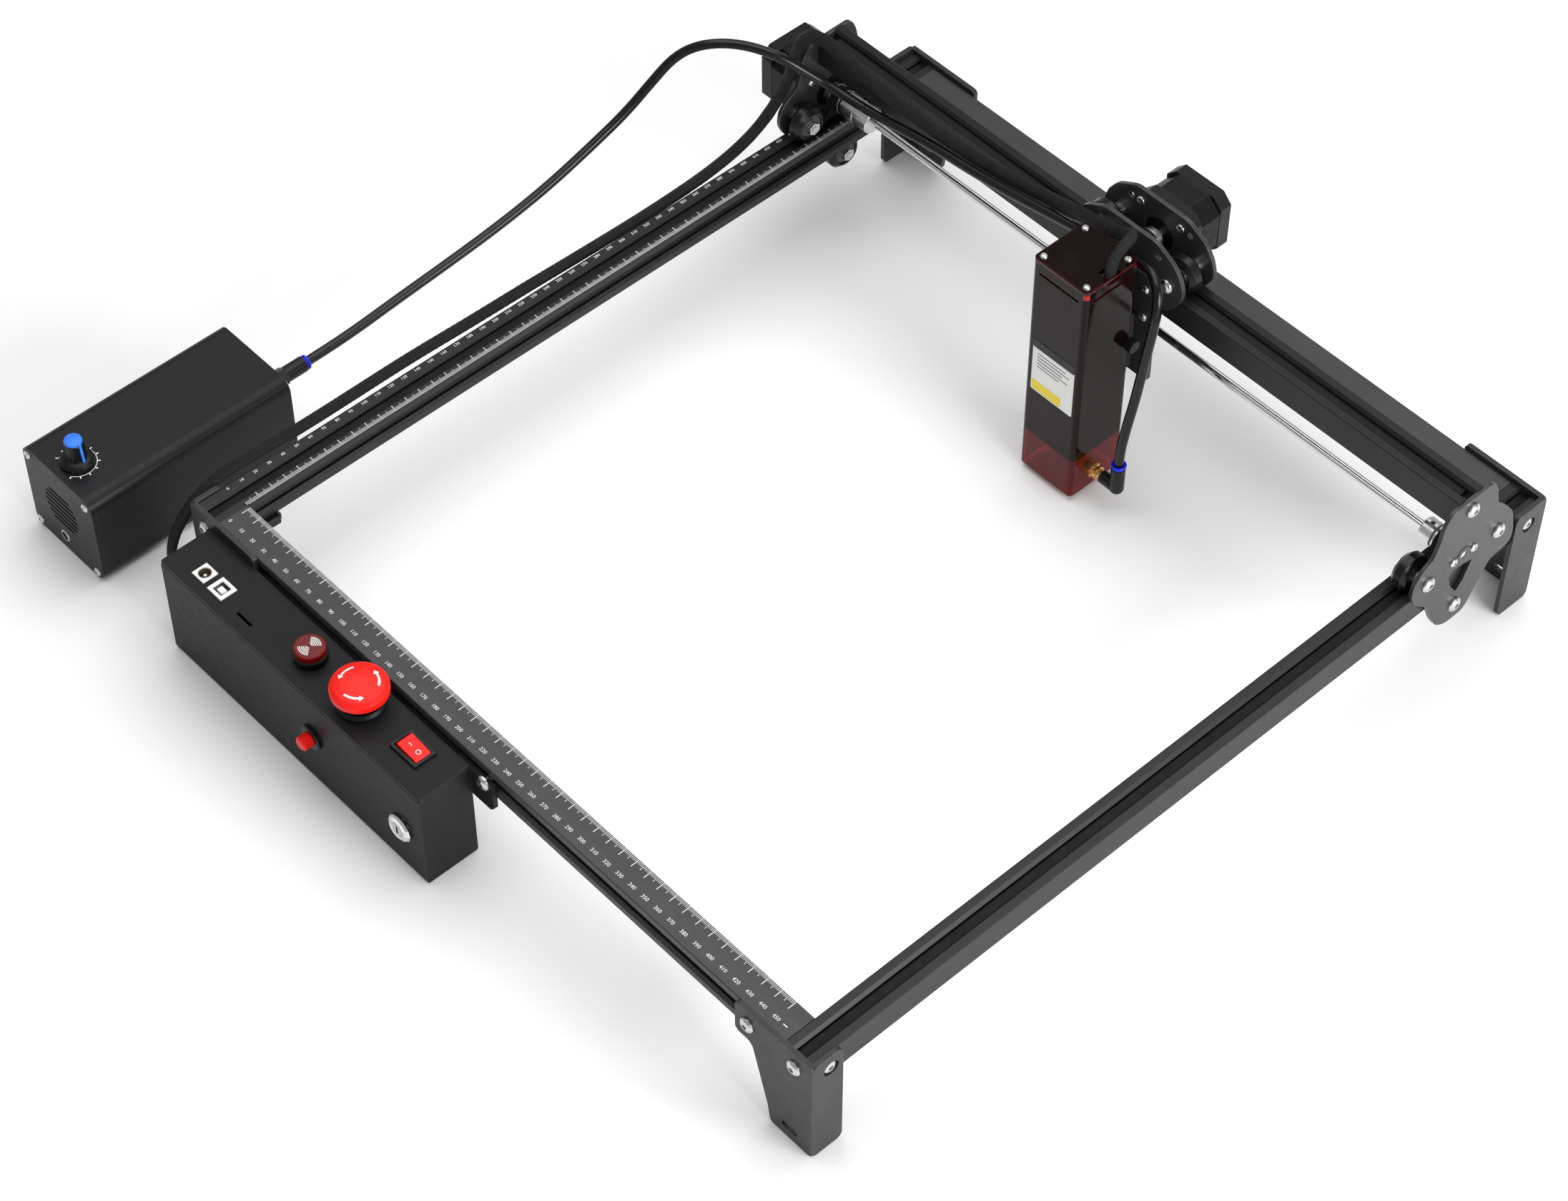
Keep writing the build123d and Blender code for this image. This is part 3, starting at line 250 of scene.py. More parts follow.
def braid(name, colour):
    """Braided polyester: crossing diagonal strands, from the sleeve's own length and girth."""
    n = Nodes(name)
    split = n.add("ShaderNodeSeparateXYZ")
    n.link(n.add("ShaderNodeUVMap", uv_map="girth").outputs["UV"], split.inputs[0])
    along, around = split.outputs[0], split.outputs[1]
    strands = []
    for side in (1, -1):
        turned = n.math("MULTIPLY", around, side * BRAID_TURN)
        strands.append(n.math("SINE", n.math("ADD", n.math("MULTIPLY", along, BRAID_RATE), turned)))
    weave = n.math("MULTIPLY", strands[0], strands[1])
    thread = n.math("SINE", n.math("MULTIPLY", along, THREAD_RATE))
    height = n.math("ADD", weave, n.math("MULTIPLY", thread, 0.25))
    # painted shade in the weave's hollows and painted highlight on its raised strands: the colour
    # follows the weave's height
    base = n.mix(n.ramp(weave, -0.8, 0.9), shade(colour, 0.45), shade(colour, 1.6))
    n.link(base, n.shader.inputs["Base Color"])
    n.link(n.ramp(n.noise(6.0), 0.3, 0.7, 0.5, 0.72), n.shader.inputs["Roughness"])
    n.link(n.bump(height, 0.16), n.shader.inputs["Normal"])
    n.shader.inputs["Specular IOR Level"].default_value = 0.25


ALONG_X, ALONG_Y = (0.02, 1.0, 1.0), (1.0, 0.02, 1.0)
# colours of the bright edges: partly edge wear, partly a painted highlight
GREY_EDGE, STEEL_EDGE = (0.17, 0.17, 0.175), (0.75, 0.75, 0.77)
WHITE, RED = (0.80, 0.80, 0.79), (0.84, 0.012, 0.008)

# one black extrusion finish in two copies: the front and rear rails painted lighter (painted
# light), the side rails darker (painted shade); only the streak's direction really differs
finish("rail_y_shaded", (0.018, 0.018, 0.019), 0.36, 0.2, edge_wear_and_highlight=(0.07, 0.07, 0.072), streak=ALONG_Y,
       grain_depth=0.008, edge_width_mm=0.35, rough_spread=0.04, gloss=0.22)
finish("rail_x_lit", (0.046, 0.046, 0.048), 0.42, 0.2, edge_wear_and_highlight=(0.13, 0.13, 0.135), streak=ALONG_X,
       grain_depth=0.008, edge_width_mm=0.35, rough_spread=0.04, gloss=0.3)
finish("beam", (0.011, 0.011, 0.012), 0.34, 0.2, edge_wear_and_highlight=(0.07, 0.07, 0.072), streak=ALONG_X,
       grain_depth=0.008, edge_width_mm=0.35, rough_spread=0.04, gloss=0.25)
finish("leg", (0.028, 0.028, 0.030), 0.40, 0.2, edge_wear_and_highlight=GREY_EDGE, grain_depth=0.012,
       scratches=0.08, rough_spread=0.03, gloss=0.3)
finish("plate", (0.046, 0.046, 0.048), 0.34, 0.4, edge_wear_and_highlight=(0.28, 0.28, 0.29), grain_depth=0.008,
       scratches=0.06, vary=0.06, rough_spread=0.03, gloss=0.3)
finish("box_paint", (0.011, 0.011, 0.012), 0.50, grain_mm=0.6, grain_depth=0.014,
       edge_wear_and_highlight=(0.055, 0.055, 0.058), vary=0.05, rough_spread=0.03, gloss=0.16)
finish("pump_paint", (0.007, 0.007, 0.008), 0.42, grain_mm=0.6, grain_depth=0.012,
       edge_wear_and_highlight=(0.045, 0.045, 0.048), vary=0.06, rough_spread=0.03, gloss=0.22)
finish("steel", (0.60, 0.60, 0.61), 0.24, 1.0, vary=0.08, edge_wear_and_highlight=STEEL_EDGE, edge_width_mm=0.2,
       grain_depth=0.006, scratches=0.12)
finish("chrome", (0.74, 0.74, 0.75), 0.10, 1.0, vary=0.04, rough_spread=0.04, streak=ALONG_X,
       grain_depth=0.002, edge_width_mm=0.2)
finish("alu", (0.66, 0.65, 0.64), 0.28, 1.0, vary=0.06, edge_wear_and_highlight=STEEL_EDGE, edge_width_mm=0.25,
       streak=(1.0, 0.2, 0.2), grain_depth=0.008)
finish("rubber", (0.005, 0.005, 0.006), 0.60, vary=0.25, grain_mm=0.35, grain_depth=0.02,
       gloss=0.2)
finish("wheel", (0.005, 0.005, 0.006), 0.28, vary=0.15, grain_mm=0.4, grain_depth=0.006,
       edge_wear_and_highlight=(0.04, 0.04, 0.042), edge_width_mm=0.3, gloss=0.28)
finish("motor", (0.006, 0.006, 0.007), 0.44, 0.2, edge_wear_and_highlight=(0.05, 0.05, 0.053), grain_mm=0.5,
       grain_depth=0.016, rough_spread=0.04, gloss=0.25)
finish("laminations", (0.006, 0.006, 0.007), 0.36, 0.3, edge_wear_and_highlight=(0.05, 0.05, 0.053),
       edge_width_mm=0.25, grain_depth=0.01, gloss=0.25)
finish("shell", (0.34, 0.29, 0.23), 0.3, 0.9, vary=0.1, grain_depth=0.006)
finish("bearing", (0.085, 0.085, 0.09), 0.34, 0.8, vary=0.15, edge_wear_and_highlight=(0.3, 0.3, 0.31),
       edge_width_mm=0.2, grain_depth=0.006)
finish("board", (0.010, 0.080, 0.028), 0.35, vary=0.2, grain_mm=2.0, grain_depth=0.02)
finish("white_plastic", WHITE, 0.38, vary=0.04, grain_depth=0.006, edge_wear_and_highlight=(0.85, 0.85, 0.84))
finish("black_plastic", (0.004, 0.004, 0.005), 0.34, vary=0.15, grain_mm=0.5,
       grain_depth=0.012, edge_wear_and_highlight=(0.03, 0.03, 0.032), edge_width_mm=0.35, gloss=0.25)
finish("red_plastic", RED, 0.30, vary=0.04, grain_mm=1.2, grain_depth=0.006, coat=0.04,
       edge_wear_and_highlight=(0.92, 0.05, 0.04), edge_width_mm=0.6, rough_spread=0.05, gloss=0.16)
finish("blue_plastic", (0.030, 0.19, 0.86), 0.32, vary=0.05, grain_mm=1.0, grain_depth=0.006,
       edge_wear_and_highlight=(0.08, 0.30, 0.90), gloss=0.3)
finish("blue_ring", (0.008, 0.020, 0.66), 0.30, vary=0.06, grain_mm=1.0, grain_depth=0.006,
       edge_wear_and_highlight=(0.03, 0.06, 0.80), gloss=0.3)
finish("brass", (0.72, 0.43, 0.15), 0.24, 1.0, vary=0.08, edge_wear_and_highlight=(0.95, 0.70, 0.36),
       edge_width_mm=0.25, grain_depth=0.006)
finish("core", (0.10, 0.10, 0.10), 0.5, 0.4, vary=0.1)
finish("module", (0.004, 0.004, 0.005), 0.40, 0.5, vary=0.15, edge_wear_and_highlight=(0.04, 0.04, 0.04))
# edge colours below: painted glow on the cut edges of each sheet
acrylic("smoked", (0.034, 0.010, 0.009), (0.28, 0.006, 0.006), 0.06, 0.85, 1.24)
acrylic("red_acrylic", (0.34, 0.008, 0.008), (0.62, 0.014, 0.012), 0.05, 0.92, 1.28)
acrylic("lamp", (0.30, 0.004, 0.005), (0.75, 0.010, 0.012), 0.10, 0.55, 1.28)
# painted red glints at the cover's top corners, and below them a painted glow along the top sheet's
# cut edges
finish("glint", (0.42, 0.004, 0.004), 0.15, vary=0.2, vary_mm=4.0, grain_mm=1.0,
       grain_depth=0.004, gloss=0.3)
finish("painted_edge_glow", (0.050, 0.003, 0.003), 0.2, vary=0.3, vary_mm=5.0, grain_mm=1.0,
       grain_depth=0.004, gloss=0.3)
finish("hose", (0.003, 0.003, 0.004), 0.22, vary=0.2, vary_mm=40.0, grain_mm=1.5,
       grain_depth=0.008, rough_spread=0.05, gloss=0.32)
braid("braid", (0.0055, 0.0055, 0.006))
finish("print", (0.85, 0.85, 0.85), 0.55, vary=0.05, vary_mm=6.0, grain_mm=0.3,
       grain_depth=0.004)
finish("glass", (0.10, 0.07, 0.16), 0.05, 0.6, vary=0.1, grain_depth=0.001, coat=0.6)
finish("sticker", (0.78, 0.78, 0.76), 0.40, vary=0.03, grain_mm=0.8, grain_depth=0.004)
finish("yellow", (0.82, 0.66, 0.01), 0.42, vary=0.05, grain_mm=0.8, grain_depth=0.004)

NODE_LOOKS = {
    "rail_y_shaded": ["left_rail", "right_rail"],
    "rail_x_lit": ["front_rail", "rear_rail"],
    "beam": ["x_beam"],
    "leg": ["front_legs", "rear_legs"],
    "plate": ["left_plate", "right_plate", "carriage_front_plate", "carriage_rear_plate",
              "head_mount", "head_slider", "shaft_bearing"],
    "box_paint": ["control_box", "control_box_lid"],
    "pump_paint": ["pump_case", "pump_end_plates"],
    "steel": ["frame_screws", "gantry_bolts", "carriage_bolts", "key_lock", "key_plug"],
    "chrome": ["drive_rod"],
    "alu": ["shaft_couplings", "y_pulleys", "x_pulley"],
    "rubber": ["y_belts", "x_belt"],
    "wheel": ["front_wheels", "rear_wheels", "lower_wheels", "left_carriage_wheel",
              "right_carriage_wheel", "lower_carriage_wheel"],
    "motor": ["y_motor", "x_motor"],
    "board": ["control_board"],
    "white_plastic": ["box_sockets"],
    "black_plastic": ["panel_bezels", "clamp_knob", "air_elbow", "pump_fitting", "pump_knob",
                      "stop_stem"],
    "red_plastic": ["stop_button", "rocker", "reset_button"],
    "lamp": ["lamp_cap"],
    "core": ["air_pump"],
    "module": ["laser_module"],
    "smoked": ["head_cover"],
    "red_acrylic": ["head_shield"],
    "brass": ["air_fitting"],
}


def dress_nodes():
    for look, names in NODE_LOOKS.items():
        for name in names:
            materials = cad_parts[name].data.materials
            materials.clear()
            materials.append(LOOKS[look])


dress_nodes()


# ---- meshes ----
PRINT, LIFT = 0.06, 0.005       # thickness of the print, and its gap above the surface
SIDE_RAILS = (-10.0, 476.0)     # x of the middles of the left and the right rail


def at(axis, along, a, b):
    """A point from its place along an axis and its two other coordinates, in x, y, z order."""
    return Vector({"x": (along, a, b), "y": (a, along, b), "z": (a, b, along)}[axis])


def make_piece(name, bm, body, look, bevel=0.0, sharp=38.0):
    """Turn a mesh drawn in millimetres into a piece that rides on a body."""
    bmesh.ops.remove_doubles(bm, verts=bm.verts, dist=1e-4)
    bmesh.ops.recalc_face_normals(bm, faces=bm.faces)
    for face in bm.faces:
        face.smooth = True
    for edge in bm.edges:
        shallow = edge.calc_face_angle(0) < math.radians(sharp)
        edge.smooth = len(edge.link_faces) == 2 and shallow
    bmesh.ops.transform(bm, matrix=TO_ROW, verts=bm.verts)
    mesh = bpy.data.meshes.new(name)
    bm.to_mesh(mesh)
    bm.free()
    mesh.materials.append(LOOKS[look])
    piece = bpy.data.objects.new(name, mesh)
    bpy.context.scene.collection.objects.link(piece)
    if bevel:
        modifier = piece.modifiers.new("bevel", "BEVEL")
        modifier.width, modifier.segments, modifier.limit_method = bevel * MM, 2, "ANGLE"
    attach(piece, body)
    return piece


def add_prism(bm, axis, outline, start, end):
    """A closed outline of (a, b) points pushed along an axis."""
    rings = [[bm.verts.new(at(axis, along, a, b)) for a, b in outline] for along in (start, end)]
    for i, (low, high) in enumerate(zip(*rings)):
        j = (i + 1) % len(outline)
        bm.faces.new((low, rings[0][j], rings[1][j], high))
    bm.faces.new(rings[0])
    bm.faces.new(rings[1])


def add_box(bm, x0, x1, y0, y1, z0, z1):
    add_prism(bm, "z", [(x0, y0), (x1, y0), (x1, y1), (x0, y1)], z0, z1)


def add_lathe(bm, axis, centre, profile, steps=48):
    """A closed profile of (along, radius) points turned about an axis."""
    rings = []
    for along, radius in profile:
        if radius < 1e-6:
            rings.append([bm.verts.new(at(axis, along, *centre))] * steps)
            continue
        turns = [2 * math.pi * i / steps for i in range(steps)]
        rings.append([bm.verts.new(at(axis, along, centre[0] + radius * math.cos(turn),
                                      centre[1] + radius * math.sin(turn))) for turn in turns])
    for first, second in zip(rings, rings[1:] + rings[:1]):
        for i in range(steps):
            corners = []
            for vert in (first[i], first[(i + 1) % steps], second[(i + 1) % steps], second[i]):
                if vert not in corners:
                    corners.append(vert)
            if len(corners) > 2:
                bm.faces.new(corners)


def add_strip(bm, start, end, width, low, high):
    """A level bar between two points, between two heights."""
    run = (Vector(end) - Vector(start)).normalized()
    side = Vector((-run[1], run[0])) * (width / 2)
    outline = [(start[0] + side[0], start[1] + side[1]), (end[0] + side[0], end[1] + side[1]),
               (end[0] - side[0], end[1] - side[1]), (start[0] - side[0], start[1] - side[1])]
    add_prism(bm, "z", outline, low, high)


def add_number(bm, value, size, x, y, turn=0.0):
    """Raised print of a number, centred on a point of a rail's top."""
    curve = bpy.data.curves.new("number", "FONT")
    curve.body, curve.size, curve.extrude = str(value), size, PRINT / 2
    curve.align_x, curve.align_y, curve.resolution_u = "CENTER", "CENTER", 2
    holder = bpy.data.objects.new("number", curve)
    mesh = bpy.data.meshes.new_from_object(holder)
    centre = Vector((x, y, PRINT / 2 + LIFT))
    mesh.transform(Matrix.Translation(centre) @ Matrix.Rotation(turn, 4, "Z"))
    bm.from_mesh(mesh)
    bpy.data.objects.remove(holder)
    bpy.data.curves.remove(curve)
    bpy.data.meshes.remove(mesh)


def rounded_outline(a0, a1, b0, b1, radius):
    """A rectangle with round corners, as (a, b) points."""
    points, steps = [], 4
    for a, b, start in ((a1, b1, 0), (a0, b1, 1), (a0, b0, 2), (a1, b0, 3)):
        centre_a = a - radius if a == a1 else a + radius
        centre_b = b - radius if b == b1 else b + radius
        for i in range(steps + 1):
            turn = math.pi / 2 * (start + i / steps)
            points.append((centre_a + radius * math.cos(turn), centre_b + radius * math.sin(turn)))
    return points


def arc_points(centre, radius, start, end, steps=14):
    """Points along an arc between two angles in degrees."""
    turns = [math.radians(start + (end - start) * i / steps) for i in range(steps + 1)]
    return [(centre[0] + radius * math.cos(turn), centre[1] + radius * math.sin(turn))
            for turn in turns]


def add_arc(bm, centre, radius, start, end, width, z0, z1):
    """A level curved bar, its two ends square."""
    outer = arc_points(centre, radius + width / 2, start, end)
    inner = arc_points(centre, radius - width / 2, end, start)
    add_prism(bm, "z", outer + inner, z0, z1)


def add_tube(bm, outer, inner, z0, z1):
    """An upright wall between two outlines with the same number of points."""
    rings = [[bm.verts.new((a, b, z)) for a, b in ring]
             for ring in (outer, inner) for z in (z0, z1)]
    for first, second in ((0, 1), (1, 3), (3, 2), (2, 0)):
        for i in range(len(outer)):
            j = (i + 1) % len(outer)
            bm.faces.new((rings[first][i], rings[first][j], rings[second][j], rings[second][i]))


# ---- hose and sleeve ----
HOSE_D, SLEEVE_WIDTH, SLEEVE_THICK = 6.0, 8.6, 4.6
RELIEF, RELIEF_STEP = 0.14, 0.9     # height of the braid, and the length of a step that shows it
HOSE_ROUTE = [
    (-84, 102, -23), (-84, 130, -23), (-82.5, 170, -16.5), (-81, 212, -10.5),
    (-79.5, 250, -4), (-78, 286, 5), (-76.5, 318, 17), (-74, 345, 30), (-71, 365, 46),
    (-66, 377, 60), (-57.5, 387, 69), (-45, 398, 73.5), (-31, 409, 73), (-17, 420, 67),
    (-6, 430, 56.5), (5, 439, 47), (21, 444, 42.5), (40, 445, 43), (63, 445, 47.5),
    (90, 445, 51.8), (119, 444, 55.5), (148, 443, 60.5), (176, 442.6, 66),
    (203, 442.8, 71), (226, 441.5, 75), (245, 440.5, 80.5), (258, 439.5, 84.5),
    (270.5, 437.2, 87), (280, 432, 83), (285, 427.3, 73), (285.5, 424.8, 60.5),
    (285.2, 422.5, 45), (285, 419.5, 28), (285, 416, 9), (284.7, 411.5, -10),
    (284.5, 408, -28), (284.5, 408, -42)]
SLEEVE_ROUTE = [
    (-4.7, -38, -62), (-17, -38, -62), (-28, -37, -55.5), (-33.5, -35, -43.5),
    (-33, -31, -30), (-31, -24, -17), (-29.5, -13, -6), (-28.5, 3, 0), (-27.5, 26, 0.5),
    (-27, 58, -0.5), (-27, 96, -0.2), (-27, 138, 0.4), (-27, 182, -1.2), (-27, 226, -1.8),
    (-27, 268, -3.2), (-27, 308, -4.1), (-27, 344, -3.6), (-27, 374, -1.4), (-27, 398, 4),
    (-27, 415, 12.5), (-27, 427.5, 23.5), (-27, 436, 36), (-26.8, 440.3, 49.5),
    (-25, 442.8, 60), (-18.8, 445.3, 67.3), (-9.5, 447.5, 69.3), (1.5, 448.9, 66.8),
    (14, 449.5, 62.8), (38, 449.5, 59.5), (66, 449.5, 58.6), (98, 449.6, 59.2),
    (130, 449.8, 61), (158, 449.8, 65), (182, 449.2, 71.5), (203, 445.3, 80.5),
    (225, 443.3, 87), (240, 442.6, 91), (250, 441, 98), (254.3, 437.6, 103.6),
    (257, 431.7, 106.8), (258.3, 424.9, 106.8), (258.5, 419, 103.3), (258.5, 415.5, 97.4),
    (258.5, 415.5, 90)]
HOSE_CUTS, SLEEVE_CUTS = (17, 24), (28, 35)     # runs in whose middle the cords are cut


def cut_route(points, runs):
    """A route cut in the middle of some of its runs."""
    pieces, start, first = [], [points[0]], 1
    for run in runs:
        middle = tuple((a + b) / 2 for a, b in zip(points[run - 1], points[run]))
        pieces.append(start + list(points[first:run]) + [middle])
        start, first = [middle], run
    pieces.append(start + list(points[first:]))
    return pieces


def spline_points(points):
    """The smooth line of a route, as points along its NURBS spline, in metres in the row frame."""
    curve = bpy.data.curves.new("route", "CURVE")
    curve.dimensions = "3D"
    curve.resolution_u = 14
    spline = curve.splines.new("NURBS")
    spline.points.add(len(points) - 1)
    for control, point in zip(spline.points, points):
        control.co = (*place(*point), 1.0)
    spline.order_u = 3
    spline.use_endpoint_u = True
    holder = bpy.data.objects.new("route", curve)
    mesh = bpy.data.meshes.new_from_object(holder)
    line = [vertex.co.copy() for vertex in mesh.vertices]
    bpy.data.objects.remove(holder)
    bpy.data.curves.remove(curve)
    bpy.data.meshes.remove(mesh)
    return line


def carried_frames(line, wide):
    """At each point, the tangent and the wide direction carried along without twist."""
    frames = []
    for i, point in enumerate(line):
        tangent = (line[min(i + 1, len(line) - 1)] - line[max(i - 1, 0)]).normalized()
        wide = (wide - wide.dot(tangent) * tangent).normalized()
        frames.append((point, tangent, wide))
    return frames


def tube_mesh(name, frames, start_length, half_wide, half_thick, steps, relief):
    """A tube with an oval section, its length and girth kept in a UV map."""
    bm = bmesh.new()
    girth = bm.loops.layers.uv.new("girth")
    rings, lengths, length = [], [], start_length
    for i, (point, tangent, wide) in enumerate(frames):
        thin = tangent.cross(wide)
        if i:
            length += (point - frames[i - 1][0]).length
        lengths.append(length)
        ring = []
        for k in range(steps):
            turn = 2 * math.pi * k / steps
            strands = [math.sin(BRAID_RATE * length + side * 12 * turn) for side in (1, -1)]
            lift = relief * strands[0] * strands[1]
            ring.append(bm.verts.new(point + wide * (half_wide + lift) * math.cos(turn)
                                     + thin * (half_thick + lift) * math.sin(turn)))
        rings.append(ring)
    for i in range(len(rings) - 1):
        for k in range(steps):
            j = (k + 1) % steps
            face = bm.faces.new((rings[i][k], rings[i][j], rings[i + 1][j], rings[i + 1][k]))
            face.smooth = True
            around = (k / steps, (k + 1) / steps, (k + 1) / steps, k / steps)
            along = (lengths[i], lengths[i], lengths[i + 1], lengths[i + 1])
            for loop, u, v in zip(face.loops, along, around):
                loop[girth].uv = (u, v)
    for ring in (rings[0], rings[-1]):
        bm.faces.new(ring)
    bmesh.ops.recalc_face_normals(bm, faces=bm.faces)
    mesh = bpy.data.meshes.new(name)
    bm.to_mesh(mesh)
    bm.free()
    return mesh, length


def refined(line, step):
    """The same line with its long steps cut, for the relief of the braid."""
    fine = [line[0]]
    for point in line[1:]:
        pieces = max(1, round((point - fine[-1]).length / step))
        before = fine[-1]
        fine += [before.lerp(point, i / pieces) for i in range(1, pieces + 1)]
    return fine


def make_cord(name, route, cuts, look, half_wide, half_thick, relief):
    """A cord in three lengths, cut in the middle of the given runs; each replaces its CAD node."""
    wide, length = Vector((0, 0, 1)), 0.0
    for part, points in zip(("frame", "gantry", "head"), cut_route(route, cuts)):
        line = spline_points(points)
        frames = carried_frames(refined(line, RELIEF_STEP * MM) if relief else line, wide)
        wide = frames[-1][2]
        steps = 32 if relief else 24
        mesh, length = tube_mesh(f"{name}_{part}_line", frames, length, half_wide * MM,
                                 half_thick * MM, steps, relief * MM)
        mesh.materials.append(LOOKS[look])
        cord = bpy.data.objects.new(f"{name}_{part}_line", mesh)
        bpy.context.scene.collection.objects.link(cord)
        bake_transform(cord)
        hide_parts(f"{name}_{part}")


make_cord("hose", HOSE_ROUTE, HOSE_CUTS, "hose", HOSE_D / 2, HOSE_D / 2, 0.0)
make_cord("sleeve", SLEEVE_ROUTE, SLEEVE_CUTS, "braid", SLEEVE_WIDTH / 2,
          SLEEVE_THICK / 2, RELIEF)


# ---- printed rulers ----
FRONT_ZERO = 2.8                # x of the front ruler's zero
LEFT_ZERO, LEFT_STEP = -0.8, 0.975      # y of the left ruler's zero, and its division


def make_front_ruler():
    """The ticks and numbers of the front rail, and the dash after the last number."""
    bm = bmesh.new()
    for value in range(0, 451):
        x, half = FRONT_ZERO + value, (0.45 if value % 10 == 0 else 0.27) / 2
        reach = {0: 6.3, 5: 4.4}.get(value % 10, 2.7)
        add_box(bm, x - half, x + half, -reach, 0.0, LIFT, PRINT)
    add_box(bm, 458.0, 461.0, -14.5, -13.9, LIFT, PRINT)
    for value in range(0, 460, 10):
        add_number(bm, value, 3.4, FRONT_ZERO + value, -14.2)
    make_piece("front_ruler", bm, "frame", "print")


def make_left_ruler():
    """The ticks on the inner strip of the left rail and the numbers on its outer strip."""
    bm = bmesh.new()
    for value in range(1, 481):
        y, half = LEFT_ZERO + LEFT_STEP * value, (0.44 if value % 10 == 0 else 0.3) / 2
        reach = {0: 4.6, 5: 3.4}.get(value % 10, 2.3)
        add_box(bm, -0.3 - reach, -0.3, y - half, y + half, LIFT, PRINT)
    add_box(bm, -0.35, -0.15, 1.0, 470.0, LIFT, PRINT)
    make_piece("left_ruler", bm, "frame", "print")
    bm = bmesh.new()
    for value in range(0, 490, 10):
        add_number(bm, value, 2.9, -17.2, LEFT_ZERO + LEFT_STEP * value, math.pi / 2)
    make_piece("left_numbers", bm, "frame", "print")


make_front_ruler()
make_left_ruler()


# ---- belts round their pulleys ----
PULLEY_R = 5.97
LOOP_THICK = 1.3                # a belt loop with its teeth
BELT_WIDTH, TOOTH_REACH, ROOT_REACH = 6.0, 0.65, 0.1


def belt_path(wheel_z, belt_top, reach, pulley_z):
    """Centre line of a belt that comes out of its slot under one wheel, goes over the pulley
    and back under the other wheel: (distance from the pulley's axis, height) points. The
    wheels' axes are at a distance of reach from the pulley's."""
    under = wheel_z - belt_top - LOOP_THICK / 2 - 0.02
    over = PULLEY_R + LOOP_THICK / 2 + 0.1
    rise = pulley_z - wheel_z
    lean = math.asin((under + over) / math.hypot(reach, rise))
    tilt = math.atan2(rise, reach) + lean
    half, steps = [], 9
    for i in range(steps + 1):
        turn = -math.pi / 2 + tilt * i / steps
        half.append((-reach + under * math.cos(turn), wheel_z + under * math.sin(turn)))
    for i in range(steps + 1):
        turn = math.pi / 2 + tilt * (1 - i / steps)
        half.append((over * math.cos(turn), pulley_z + over * math.sin(turn)))
    return half + [(-a, b) for a, b in reversed(half[:-1])]


def add_belt(bm, axis, centre, across, path):
    """A toothed strip along a path; teeth on the side of the pulley."""
    dense = []
    for (a0, b0), (a1, b1) in zip(path, path[1:]):
        pieces = max(1, round(math.hypot(a1 - a0, b1 - b0) / 0.5))
        dense += [(a0 + (a1 - a0) * i / pieces, b0 + (b1 - b0) * i / pieces) for i in range(pieces)]
    dense.append(path[-1])
    outer, inner, travelled = [], [], 0.0
    for i, (a, b) in enumerate(dense):
        before, after = dense[max(i - 1, 0)], dense[min(i + 1, len(dense) - 1)]
        run = Vector((after[0] - before[0], after[1] - before[1])).normalized()
        out = Vector((-run[1], run[0]))
        if i:
            travelled += math.hypot(a - before[0], b - before[1])
        tooth = TOOTH_REACH if math.sin(math.pi * travelled) > -0.1 else ROOT_REACH
        outer.append((centre + a + out[0] * TOOTH_REACH, b + out[1] * TOOTH_REACH))
        inner.append((centre + a - out[0] * tooth, b - out[1] * tooth))
    rows = []
    for side in (-BELT_WIDTH / 2, BELT_WIDTH / 2):
        for edge in (outer, inner):
            if axis == "y":
                rows.append([bm.verts.new((across + side, a, b)) for a, b in edge])
            else:
                rows.append([bm.verts.new((a, across + side, b)) for a, b in edge])
    low_out, low_in, high_out, high_in = rows
    girth = (low_out, high_out, high_in, low_in)
    for i in range(len(dense) - 1):
        for first, second in zip(girth, girth[1:] + girth[:1]):
            bm.faces.new((first[i], first[i + 1], second[i + 1], second[i]))
    for i in (0, len(dense) - 1):
        bm.faces.new([row[i] for row in girth])


def make_belts():
    """The toothed loops over the two gantry pulleys and over the carriage's pulley."""
    wheel_y, wheel_z = centre_of("front_wheels", "x")
    shaft_y, shaft_z = centre_of("drive_rod", "x")
    path = belt_path(wheel_z, local_box("y_belts")[1].z, shaft_y - wheel_y, shaft_z)
    for name, x in zip(("left_belt_loop", "right_belt_loop"), SIDE_RAILS):
        bm = bmesh.new()
        add_belt(bm, "y", shaft_y, x, path)
        make_piece(name, bm, "gantry", "rubber", sharp=50)
    wheel_x, wheel_y = centre_of("left_carriage_wheel", "z")
    wheel_z = centre_of("left_carriage_wheel", "y")[1]
    pulley_x, pulley_z = centre_of("x_pulley", "y")
    path = belt_path(wheel_z, local_box("x_belt")[1].z, pulley_x - wheel_x, pulley_z)
    bm = bmesh.new()
    add_belt(bm, "x", pulley_x, wheel_y, path)
    make_piece("x_belt_loop", bm, "carriage", "rubber", sharp=50)


make_belts()


# ---- wheel bearings and motors ----
BEARING = [(4.08, 3.1), (4.2, 3.1), (4.2, 4.0), (4.13, 4.2), (4.13, 5.9), (4.2, 6.1), (4.2, 7.2),
           (4.08, 7.2)]         # (distance from the wheel's middle, radius)


def add_bearings(bm, axis, centre, plane):
    """A bearing's face on both sides of a wheel whose middle is at plane."""
    for side in (-1, 1):
        add_lathe(bm, axis, centre, [(plane + side * a, r) for a, r in BEARING], 40)


